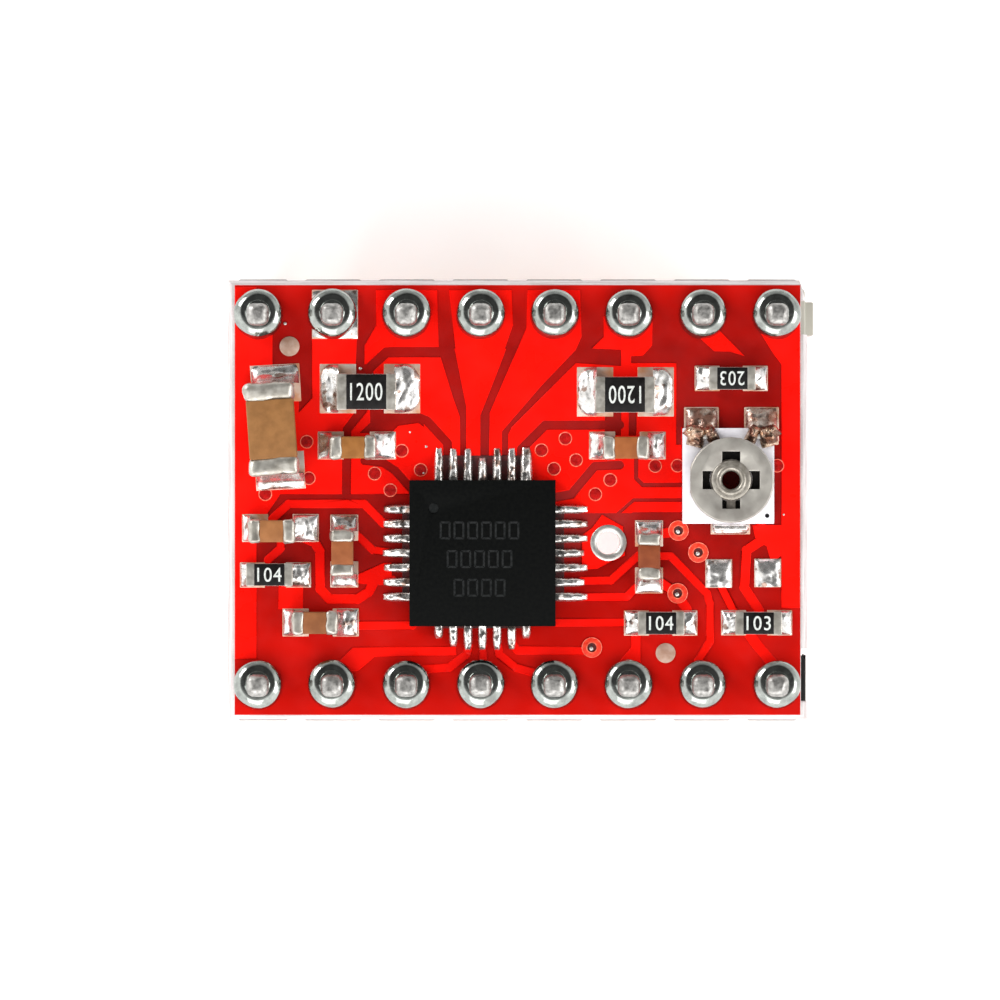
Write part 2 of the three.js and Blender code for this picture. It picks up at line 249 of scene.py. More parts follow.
@dataclass(frozen=True)
class Finish:
    """A surface with two tones, uneven gloss and a fine relief.

    Attributes:
        name: The material's name.
        tones: The two colours that it varies between.
        rough: The lowest and highest roughness.
        metallic: 1 on bare metal.
        patch: The size of its colour patches, in millimetres.
        grain: The size of its relief's grain, in millimetres.
        depth: The depth of that relief, in millimetres.
        layers: How many finer layers the relief has.
        coat: The weight of a clear gloss on top.
        coat_rough: The roughness of that gloss.
        specular: How strongly a surface that is not metal mirrors.
        glow: How much light it gives off by itself.
    """

    name: str
    tones: tuple[Colour, Colour]
    rough: Span = (0.4, 0.5)
    metallic: float = 0.0
    patch: float = 0.5
    grain: float = 0.03
    depth: float = 0.001
    layers: float = 2.0
    coat: float = 0.0
    coat_rough: float = 0.08
    specular: float = 0.5
    glow: float = 0.0

    def colour(self, nodes: Nodes) -> NodeSocket:
        """The colour pattern of this finish."""
        share = nodes.fit(nodes.noise(self.patch), NOISE_SPAN)
        return nodes.mix(share, *self.tones)

    def material(self) -> Material:
        """The finish as a material, made once.

        Returns:
            The material.
        """
        found = bpy.data.materials.get(self.name)
        if found:
            return found
        nodes = Nodes(self.name)
        nodes.surface.inputs["Metallic"].default_value = self.metallic
        nodes.surface.inputs["Specular IOR Level"].default_value = self.specular
        nodes.surface.inputs["Coat Weight"].default_value = self.coat
        nodes.surface.inputs["Coat Roughness"].default_value = self.coat_rough
        nodes.surface.inputs["Emission Color"].default_value = (1.0, 1.0, 1.0, 1.0)
        nodes.surface.inputs["Emission Strength"].default_value = self.glow
        nodes.join(self.colour(nodes), nodes.surface.inputs["Base Color"])
        grain = nodes.noise(self.grain, detail=self.layers)
        gloss = nodes.fit(nodes.noise(self.patch * 0.6), NOISE_SPAN, self.rough)
        nodes.join(gloss, nodes.surface.inputs["Roughness"])
        nodes.relief(grain, self.depth)
        return nodes.material


@dataclass(frozen=True)
class BareMask(Finish):
    """Solder mask over bare laminate: darker than over copper, with painted light that makes it lighter out
    by the pin rows.

    Attributes:
        front: From where to where along Y the painted light brightens it towards the logic row, in
            millimetres.
        back: The same towards the power row.
    """

    front: Span = (-2.2, -5.0)
    back: Span = (5.2, 7.3)

    def colour(self, nodes: Nodes) -> NodeSocket:
        """Dark in the middle of the board, and lighter towards both rows with painted light.

        Args:
            nodes: The material's nodes.

        Returns:
            The colour.
        """
        place = nodes.along("Y")
        # Painted light: the mask grows lighter towards both pin rows.
        lighter = nodes.add("ShaderNodeMath", operation="MAXIMUM")
        for socket, (start, end) in zip(lighter.inputs, (self.front, self.back)):
            nodes.join(nodes.fit(place, (start * MM, end * MM)), socket)
        cloud = nodes.fit(nodes.noise(self.patch), (0.3, 0.7))
        near = nodes.mix(cloud, self.tones[0], tuple(1.25 * c for c in self.tones[0]))
        return nodes.mix(lighter.outputs[0], near, self.tones[1])


@dataclass(frozen=True)
class Laminate(Finish):
    """Glass cloth in resin: thin pale layers on the snapped edges, with loose fibres.

    Attributes:
        layer: The thickness of a layer, in millimetres.
        fibre: The thickness of a fibre, in millimetres.
        fibre_tone: The colour of the fibres.
    """

    layer: float = 0.14
    fibre: float = 0.035
    fibre_tone: Colour = srgb(240, 235, 232)

    def colour(self, nodes: Nodes) -> NodeSocket:
        """Layers across the thickness, broken by fibres.

        Args:
            nodes: The material's nodes.

        Returns:
            The colour.
        """
        layers = nodes.noise(self.layer, detail=2.0, stretch=(0.08, 0.08, 1.0))
        fibres = nodes.noise(self.fibre, detail=4.0, stretch=(0.5, 0.5, 1.0))
        base = nodes.mix(nodes.fit(layers, (0.38, 0.62)), *self.tones)
        return nodes.mix(nodes.fit(fibres, (0.56, 0.72), (0.0, 0.3)), base, self.fibre_tone)


@dataclass(frozen=True)
class PaleEndPlastic(Finish):
    """Black moulded plastic, pale at the end of one strip.

    Attributes:
        pale: The colour of that pale end.
        pale_span: From where to where along X it is pale, in millimetres.
        side: The Y above which it is pale, in millimetres.
    """

    pale: Colour = srgb(176, 173, 162)
    pale_span: Span = (9.6, 9.7)
    side: float = 0.0

    def colour(self, nodes: Nodes) -> NodeSocket:
        """Black, with a pale end on one strip.

        Args:
            nodes: The material's nodes.

        Returns:
            The colour.
        """
        black = super().colour(nodes)
        end = nodes.fit(nodes.along("X"), (self.pale_span[0] * MM, self.pale_span[1] * MM))
        row = nodes.fit(nodes.along("Y"), (self.side * MM, (self.side + 0.1) * MM))
        both = nodes.add("ShaderNodeMath", operation="MULTIPLY")
        nodes.join(end, both.inputs[0])
        nodes.join(row, both.inputs[1])
        return nodes.mix(both.outputs[0], black, self.pale)


@dataclass(frozen=True)
class PinPlating(Finish):
    """Thin gold that the solder has covered above the board.

    Attributes:
        tinned: The two tones of the tinned end.
        line: From where to where in height the tin begins, in millimetres.
    """

    tinned: tuple[Colour, Colour] = (srgb(150, 148, 146), srgb(196, 194, 190))
    line: Span = (9.6, 10.2)

    def colour(self, nodes: Nodes) -> NodeSocket:
        """Gold below the board and tin above it.

        Args:
            nodes: The material's nodes.

        Returns:
            The colour.
        """
        gold = super().colour(nodes)
        tin = nodes.mix(nodes.fit(nodes.noise(0.15), (0.4, 0.6)), *self.tinned)
        up = nodes.fit(nodes.along("Z"), (self.line[0] * MM, self.line[1] * MM))
        return nodes.mix(up, gold, tin)


@dataclass(frozen=True)
class FluxedSolder(Finish):
    """Bright solder with brownish flux left in places.

    Attributes:
        flux: The colour of the flux.
        amount: From what noise value to what it shows.
    """

    flux: Colour = srgb(150, 105, 80)
    amount: Span = (0.56, 0.66)

    def colour(self, nodes: Nodes) -> NodeSocket:
        """Solder with patches of flux.

        Args:
            nodes: The material's nodes.

        Returns:
            The colour.
        """
        metal = super().colour(nodes)
        stain = nodes.fit(nodes.noise(0.45, detail=4.0), self.amount, (0.0, 0.8))
        return nodes.mix(stain, metal, self.flux)


MASK_ON_COPPER = Finish(
    "mask_on_copper",
    (srgb(234, 12, 4), srgb(243, 18, 6)),
    (0.26, 0.38),
    patch=1.8,
    grain=0.05,
    depth=0.0006,
    coat=0.02,
    specular=0.14,
)
MASK_ON_LAMINATE = BareMask(
    "mask_on_laminate",
    (srgb(138, 10, 6), srgb(194, 15, 7)),
    (0.28, 0.42),
    patch=0.9,
    grain=0.05,
    depth=0.0006,
    coat=0.02,
    specular=0.12,
)
VIA_CAP = Finish(
    "via_cap", (srgb(140, 10, 10), srgb(184, 20, 18)), (0.2, 0.3), patch=0.2, coat=0.1, specular=0.3
)
# The raised via rims are real, but their pale pink colour is a painted highlight along their edges.
VIA_RIM_HIGHLIGHT = Finish(
    "via_rim_highlight",
    (srgb(236, 74, 50), srgb(246, 132, 104)),
    (0.25, 0.4),
    patch=0.12,
    grain=0.02,
    specular=0.4,
)
VIA_COLLAR = Finish(
    "via_collar",
    (srgb(226, 44, 28), srgb(238, 74, 50)),
    (0.25, 0.4),
    patch=0.15,
    grain=0.03,
    specular=0.3,
)
# The dark red of the open vias' wells is painted shade inside the holes.
VIA_HOLE_SHADE = Finish("via_hole_shade", (srgb(48, 10, 8), srgb(92, 18, 12)), (0.3, 0.5), patch=0.1, grain=0.03)
GLASS_LAMINATE = Laminate(
    "glass_laminate",
    (srgb(180, 169, 168), srgb(204, 197, 196)),
    (0.5, 0.75),
    patch=0.3,
    grain=0.04,
    depth=0.004,
)
DARK_LEAD_GAPS = Finish("dark_lead_gaps", (srgb(40, 8, 8), srgb(96, 14, 12)), (0.4, 0.6), patch=0.3, depth=0.003)
PAD_RIM = Finish(
    "pad_rim",
    (srgb(196, 138, 102), srgb(214, 198, 186)),
    (0.35, 0.5),
    metallic=0.5,
    patch=0.6,
    depth=0.001,
)
FIDUCIAL_COPPER = Finish(
    "fiducial_copper",
    (srgb(172, 134, 114), srgb(196, 168, 152)),
    (0.4, 0.55),
    metallic=0.3,
    patch=0.3,
    depth=0.001,
)
DOME_SOLDER = Finish(
    "dome_solder",
    (srgb(134, 137, 133), srgb(162, 166, 161)),
    (0.1, 0.2),
    metallic=1.0,
    patch=0.3,
    grain=0.16,
    depth=0.004,
)
TIP_SOLDER = Finish(
    "tip_solder",
    (srgb(136, 134, 131), srgb(176, 174, 170)),
    (0.4, 0.58),
    metallic=0.98,
    patch=0.14,
    grain=0.24,
    depth=0.01,
    layers=1.0,
)
PAD_SOLDER = FluxedSolder(
    "pad_solder",
    (srgb(190, 188, 184), srgb(222, 220, 218)),
    (0.14, 0.34),
    metallic=0.85,
    patch=0.25,
    grain=0.22,
    depth=0.005,
    layers=0.5,
    flux=srgb(118, 84, 66),
    amount=(0.585, 0.625),
)
LEAD_SOLDER = FluxedSolder(
    "lead_solder",
    (srgb(206, 200, 194), srgb(236, 234, 232)),
    (0.16, 0.34),
    metallic=0.88,
    patch=0.15,
    grain=0.12,
    depth=0.012,
    flux=srgb(128, 90, 70),
    amount=(0.54, 0.63),
)
TERMINAL_SOLDER = FluxedSolder(
    "terminal_solder",
    (srgb(176, 154, 140), srgb(214, 202, 192)),
    (0.2, 0.42),
    metallic=0.85,
    patch=0.2,
    grain=0.14,
    depth=0.03,
    flux=srgb(126, 74, 52),
    amount=(0.47, 0.58),
)
CLAW_SOLDER = FluxedSolder(
    "claw_solder",
    (srgb(150, 112, 86), srgb(206, 184, 164)),
    (0.15, 0.35),
    metallic=0.9,
    patch=0.14,
    grain=0.13,
    depth=0.05,
    flux=srgb(70, 30, 18),
    amount=(0.48, 0.56),
)
END_CAP = Finish(
    "end_cap",
    (srgb(156, 151, 141), srgb(194, 190, 181)),
    (0.3, 0.46),
    metallic=0.7,
    patch=0.3,
    grain=0.2,
    depth=0.008,
    layers=1.0,
)
RESISTOR_CERAMIC = Finish(
    "resistor_ceramic", (srgb(222, 218, 208), srgb(236, 233, 226)), (0.5, 0.65), patch=0.2
)
RESISTOR_GLAZE = Finish(
    "resistor_glaze",
    (srgb(13, 11, 11), srgb(22, 20, 20)),
    (0.3, 0.45),
    patch=0.2,
    grain=0.05,
    specular=0.25,
)
PRINTED_WHITE = Finish(
    "printed_white",
    (srgb(186, 190, 184), srgb(214, 217, 214)),
    (0.5, 0.65),
    patch=0.08,
    grain=0.02,
    specular=0.2,
)
MOULD_COMPOUND = Finish(
    "mould_compound",
    (srgb(6, 7, 7), srgb(11, 12, 11)),
    (0.5, 0.66),
    patch=0.12,
    grain=0.02,
    depth=0.002,
    specular=0.05,
)
LASER_MARK = Finish(
    "laser_mark",
    (srgb(22, 24, 24), srgb(38, 39, 39)),
    (0.6, 0.8),
    patch=0.12,
    grain=0.02,
    depth=0.002,
    specular=0.08,
)
TINNED_COPPER = Finish(
    "tinned_copper", (srgb(184, 182, 178), srgb(216, 212, 206)), (0.3, 0.45), metallic=0.8, patch=0.3
)
POLISHED_SILICON = Finish(
    "polished_silicon", (srgb(84, 88, 102), srgb(112, 116, 132)), (0.1, 0.2), metallic=0.6, patch=0.8
)
ALUMINA = Finish(
    "alumina",
    (srgb(226, 222, 228), srgb(240, 238, 242)),
    (0.45, 0.6),
    patch=0.5,
    grain=0.03,
    depth=0.002,
)
RESISTIVE_FILM = Finish(
    "resistive_film",
    (srgb(12, 10, 9), srgb(34, 28, 24)),
    (0.4, 0.6),
    patch=0.15,
    depth=0.002,
    specular=0.2,
)
ROTOR_METAL = Finish(
    "rotor_metal",
    (srgb(148, 143, 136), srgb(176, 172, 164)),
    (0.34, 0.48),
    metallic=0.5,
    patch=0.7,
    grain=0.06,
    depth=0.002,
)
EYELET_METAL = Finish(
    "eyelet_metal",
    (srgb(132, 126, 116), srgb(170, 164, 154)),
    (0.3, 0.46),
    metallic=0.6,
    patch=0.2,
    grain=0.06,
    depth=0.004,
)
SPRING_METAL = Finish(
    "spring_metal",
    (srgb(132, 122, 112), srgb(172, 164, 154)),
    (0.35, 0.5),
    metallic=0.7,
    patch=0.15,
    depth=0.003,
)
MARKING_INK = Finish(
    "marking_ink", (srgb(12, 12, 14), srgb(26, 26, 28)), (0.4, 0.55), patch=0.1, specular=0.2
)
BLACK_PLASTIC = PaleEndPlastic(
    "black_plastic",
    (srgb(13, 13, 13), srgb(22, 21, 21)),
    (0.42, 0.6),
    patch=0.6,
    grain=0.05,
    depth=0.003,
    specular=0.2,
)
PLATED_PIN = PinPlating(
    "plated_pin",
    (srgb(214, 172, 92), srgb(228, 190, 112)),
    (0.16, 0.3),
    metallic=1.0,
    patch=0.8,
    grain=0.08,
    depth=0.001,
)


def ceramic_finish(name: str, red: int, green: int, blue: int) -> Finish:
    """The fired ceramic of one capacitor.

    Args:
        name: The material's name.
        red: The red share of its display colour.
        green: The green share.
        blue: The blue share.

    Returns:
        The finish.
    """
    tones = (srgb(red - 12, green - 11, blue - 9), srgb(red + 3, green + 1, blue))
    return Finish(name, tones, (0.5, 0.65), patch=0.35, grain=0.03, depth=0.002, specular=0.25)


# ---------------------------------------------------------------- mesh work


def finish_piece(
    name: str,
    mesh: BMesh,
    finish: Finish,
    body: Body = Body.BOARD,
    stands_for: Sequence[str] = (),
    sharp: float = 40.0,
) -> Object:
    """Turn a mesh into a finished piece that rides on its body.

    Args:
        name: The piece's name.
        mesh: The shape, in millimetres. It is freed.
        finish: Its surface.
        body: The body that it rides on.
        stands_for: The CAD nodes that it replaces.
        sharp: The angle in degrees past which an edge stays sharp.

    Returns:
        The new object.
    """
    bmesh.ops.transform(mesh, matrix=TO_METRES, verts=mesh.verts)
    for face in mesh.faces:
        face.smooth = True
    for edge in mesh.edges:
        edge.smooth = edge.calc_face_angle(0.0) < math.radians(sharp)
    data = bpy.data.meshes.new(name)
    mesh.to_mesh(data)
    mesh.free()
    data.materials.append(finish.material())
    piece = bpy.data.objects.new(name, data)
    bpy.context.scene.collection.objects.link(piece)
    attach(piece, body.value)
    if stands_for:
        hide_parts(*stands_for)
    LOG.info("%s: %d faces on %s", name, len(data.polygons), body.value)
    return piece


def dress(node: str, finish: Finish) -> None:
    """Give a CAD node that stays as it is a better surface.

    Args:
        node: The node's name.
        finish: Its surface.
    """
    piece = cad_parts[node]
    piece.data.materials.clear()
    piece.data.materials.append(finish.material())
    LOG.info("%s: CAD node with finish %s", node, finish.name)


def box_of(node: str) -> tuple[Vector, Vector]:
    """The lowest and highest corner of a CAD node, in millimetres."""
    low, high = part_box(node)
    return low / MM, high / MM


def middle_of(node: str) -> Vector:
    """The middle of a CAD node's box, in millimetres."""
    low, high = box_of(node)
    return (low + high) / 2


def edges_of(verts: Iterable[BMVert]) -> list[BMEdge]:
    """Every edge that touches the given points."""
    return list({edge for vert in verts for edge in vert.link_edges})


def rounded_block(
    mesh: BMesh, low: Sequence[float], high: Sequence[float], edge: float, segments: int = 2
) -> list[BMVert]:
    """Add a block with rounded edges.

    Args:
        mesh: The mesh to add to.
        low: Its lowest corner.
        high: Its highest corner.
        edge: The radius of its edges.
        segments: How many steps each edge has.

    Returns:
        The block's points.
    """
    low, high = Vector(low), Vector(high)
    before = set(mesh.verts)
    verts = bmesh.ops.create_cube(mesh, size=1.0)["verts"]
    bmesh.ops.scale(mesh, vec=high - low, verts=verts)
    bmesh.ops.translate(mesh, vec=(low + high) / 2, verts=verts)
    bmesh.ops.bevel(
        mesh,
        geom=edges_of(verts),
        offset=edge,
        offset_type="OFFSET",
        affect="EDGES",
        segments=segments,
        profile=0.5,
        material=-1,
    )
    return [vert for vert in mesh.verts if vert not in before]


def turned(mesh: BMesh, profile: Sequence[Point], at: Sequence[float], steps: int = 24) -> list[BMVert]:
    """Add a turned shape.

    Args:
        mesh: The mesh to add to.
        profile: Its [radius, height] points, bottom to top on the outside.
        at: Where its axis meets height 0.
        steps: How many steps go round.

    Returns:
        The shape's points.
    """
    before = set(mesh.verts)
    chain = [mesh.verts.new((radius, 0.0, height)) for radius, height in profile]
    edges = [mesh.edges.new(pair) for pair in zip(chain, chain[1:])]
    bmesh.ops.spin(
        mesh,
        geom=[*chain, *edges],
        cent=(0, 0, 0),
        axis=(0, 0, 1),
        angle=math.tau,
        steps=steps,
        use_merge=True,
    )
    made = [vert for vert in mesh.verts if vert not in before]
    bmesh.ops.remove_doubles(mesh, verts=made, dist=1e-5)
    made = [vert for vert in mesh.verts if vert not in before]
    faces = list({face for vert in made for face in vert.link_faces})
    bmesh.ops.recalc_face_normals(mesh, faces=faces)
    bmesh.ops.translate(mesh, vec=Vector(at), verts=made)
    return made


def soft_copy(node: str, edge: float, segments: int = 2, crease: float = 30.0) -> BMesh:
    """Copy a CAD node with its hard edges rounded.

    Args:
        node: The node to copy.
        edge: The radius of its edges, in millimetres.
        segments: How many steps each edge has.
        crease: The angle in degrees past which an edge is rounded.

    Returns:
        The copy, in millimetres.
    """
    mesh = bmesh.new()
    mesh.from_mesh(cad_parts[node].data)
    bmesh.ops.transform(mesh, matrix=TO_MILLIMETRES, verts=mesh.verts)
    bmesh.ops.remove_doubles(mesh, verts=mesh.verts, dist=1e-4)
    flat = math.radians(0.5)
    bmesh.ops.dissolve_limit(mesh, angle_limit=flat, verts=mesh.verts, edges=mesh.edges)
    hard = [e for e in mesh.edges if e.calc_face_angle(0.0) > math.radians(crease)]
    bmesh.ops.bevel(
        mesh,
        geom=hard,
        offset=edge,
        offset_type="OFFSET",
        affect="EDGES",
        segments=segments,
        profile=0.5,
        material=-1,
        clamp_overlap=True,
    )
    return mesh


def turned_about(at: Sequence[float], degrees: float) -> Matrix:
    """A turn about an upright axis.

    Args:
        at: A point on the axis.
        degrees: How far to turn, anticlockwise from above.

    Returns:
        The matrix.
    """
    centre = Vector((at[0], at[1], 0.0))
    turn = Matrix.Rotation(math.radians(degrees), 4, "Z")
    return Matrix.Translation(centre) @ turn @ Matrix.Translation(-centre)


# ---------------------------------------------------------------- plans of copper

PLAN_MERGE = 0.002  # points of a plan closer than this are one point


class Paint(Enum):
    """What a shape on a plan leaves behind."""

    COPPER = "copper"
    BARE = "bare"


@dataclass(frozen=True)
class Patch:
    """A filled outline on a plan.

    Attributes:
        paint: What it leaves.
        outline: Its corners, in order.
    """

    paint: Paint
    outline: tuple[Point, ...]

    def outlines(self) -> list[list[Point]]:
        """The outline, anticlockwise.

        Returns:
            A list of that one outline.
        """
        points = list(self.outline)
        area = sum(a[0] * b[1] - b[0] * a[1] for a, b in zip(points, points[1:] + points[:1]))
        return [points if area > 0 else points[::-1]]


@dataclass(frozen=True)
class Disc:
    """A filled circle on a plan.

    Attributes:
        paint: What it leaves.
        at: Its middle.
        radius: Its radius.
    """

    paint: Paint
    at: Point
    radius: float

    def outlines(self) -> list[list[Point]]:
        """The circle as one outline, anticlockwise, with more sides on a wide one.

        Returns:
            A list of that one outline.
        """
        (x, y), radius = self.at, self.radius
        sides = 20 if radius > 0.3 else 12
        turns = [math.tau * (i + 0.25) / sides for i in range(sides)]
        return [[(x + radius * math.cos(turn), y + radius * math.sin(turn)) for turn in turns]]


@dataclass(frozen=True)
class Track:
    """A line of one width on a plan, with round ends and corners.

    Attributes:
        paint: What it leaves.
        width: Its width.
        route: The points that it runs through.
    """

    paint: Paint
    width: float
    route: tuple[Point, ...]

    def outlines(self) -> list[list[Point]]:
        """A bar for each stretch and a disc for each corner.

        Returns:
            Their outlines.
        """
        corners = [Disc(self.paint, at, self.width / 2) for at in self.route]
        shapes = [outline for corner in corners for outline in corner.outlines()]
        for start, end in zip(self.route, self.route[1:]):
            along = (Vector(end) - Vector(start)).normalized()
            aside = Vector((-along.y, along.x)) * self.width / 2
            near, far = Vector(start), Vector(end)
            bar = (near - aside, far - aside, far + aside, near + aside)
            shapes.append([(corner.x, corner.y) for corner in bar])
        return shapes


Shape = Union[Patch, Disc, Track]


def rectangle(paint: Paint, low: Point, high: Point) -> Patch:
    """A rectangular patch from one corner to the opposite one."""
    return Patch(paint, (low, (high[0], low[1]), high, (low[0], high[1])))


def holds(outline: Sequence[Point], at: Vector) -> bool:
    """Whether a point lies inside an outline.

    Args:
        outline: The outline's corners, in order.
        at: The point.

    Returns:
        True inside it.
    """
    inside = False
    for (x1, y1), (x2, y2) in zip(outline, [*outline[1:], outline[0]]):
        if (y1 > at.y) != (y2 > at.y) and at.x < x1 + (at.y - y1) * (x2 - x1) / (y2 - y1):
            inside = not inside
    return inside


def reach_of(outline: Sequence[Point]) -> tuple[float, float, float, float]:
    """The left, right, front and back of an outline."""
    xs, ys = zip(*outline)
    return min(xs), max(xs), min(ys), max(ys)


def painted_sheet(shapes: Sequence[Shape]) -> BMesh:
    """Paint shapes over each other in order, and keep what is copper.

    Args:
        shapes: The shapes, the last one on top.

    Returns:
        A flat mesh of the copper, facing up.
    """
    points: list[Vector] = []
    outlines: list[list[Point]] = []
    loops: list[list[int]] = []
    paints: list[Paint] = []
    for shape in shapes:
        for outline in shape.outlines():
            loops.append(list(range(len(points), len(points) + len(outline))))
            points.extend(Vector(point) for point in outline)
            outlines.append(outline)
            paints.append(shape.paint)
    places, _, faces, *_ = delaunay_2d_cdt(points, [], loops, 0, PLAN_MERGE)
    reaches = [reach_of(outline) for outline in outlines]
    mesh = bmesh.new()
    verts = [mesh.verts.new((place.x, place.y, 0.0)) for place in places]
    for corners in faces:
        at = sum((places[corner] for corner in corners), Vector((0.0, 0.0))) / len(corners)
        for number in range(len(outlines) - 1, -1, -1):
            left, right, front, back = reaches[number]
            if left < at.x < right and front < at.y < back and holds(outlines[number], at):
                if paints[number] is Paint.COPPER:
                    mesh.faces.new([verts[corner] for corner in corners])
                break
    loose = [vert for vert in mesh.verts if not vert.link_faces]
    bmesh.ops.delete(mesh, geom=loose, context="VERTS")
    bmesh.ops.dissolve_degenerate(mesh, dist=3 * PLAN_MERGE, edges=mesh.edges)
    return mesh


def raise_sheet(mesh: BMesh, low: float, high: float, slope: float = 0.0) -> None:
    """Give a flat sheet a thickness and sloping shoulders.

    Args:
        mesh: The flat sheet, facing up.
        low: The height of its underside.
        high: The height of its top.
        slope: How far the shoulder of each edge reaches in.
    """
    shoulder = low + (high - low) * (0.5 if slope else 1.0)
    bmesh.ops.translate(mesh, vec=(0, 0, low), verts=mesh.verts)
    made = bmesh.ops.extrude_face_region(mesh, geom=mesh.faces[:], use_keep_orig=True)["geom"]
    lifted = [item for item in made if isinstance(item, BMVert)]
    top = [item for item in made if isinstance(item, BMFace)]
    bmesh.ops.translate(mesh, vec=(0, 0, shoulder - low), verts=lifted)
    if slope:
        bmesh.ops.inset_region(
            mesh,
            faces=top,
            thickness=slope,
            depth=high - shoulder,
            use_even_offset=False,
            use_boundary=True,
        )
    bmesh.ops.recalc_face_normals(mesh, faces=mesh.faces)


C, B = Paint.COPPER, Paint.BARE


def isolated(width: float, gap: float, route: tuple[Point, ...]) -> tuple[Track, Track]:
    """A track that crosses a pour, with bare laminate on both sides."""
    return Track(B, gap, route), Track(C, width, route)


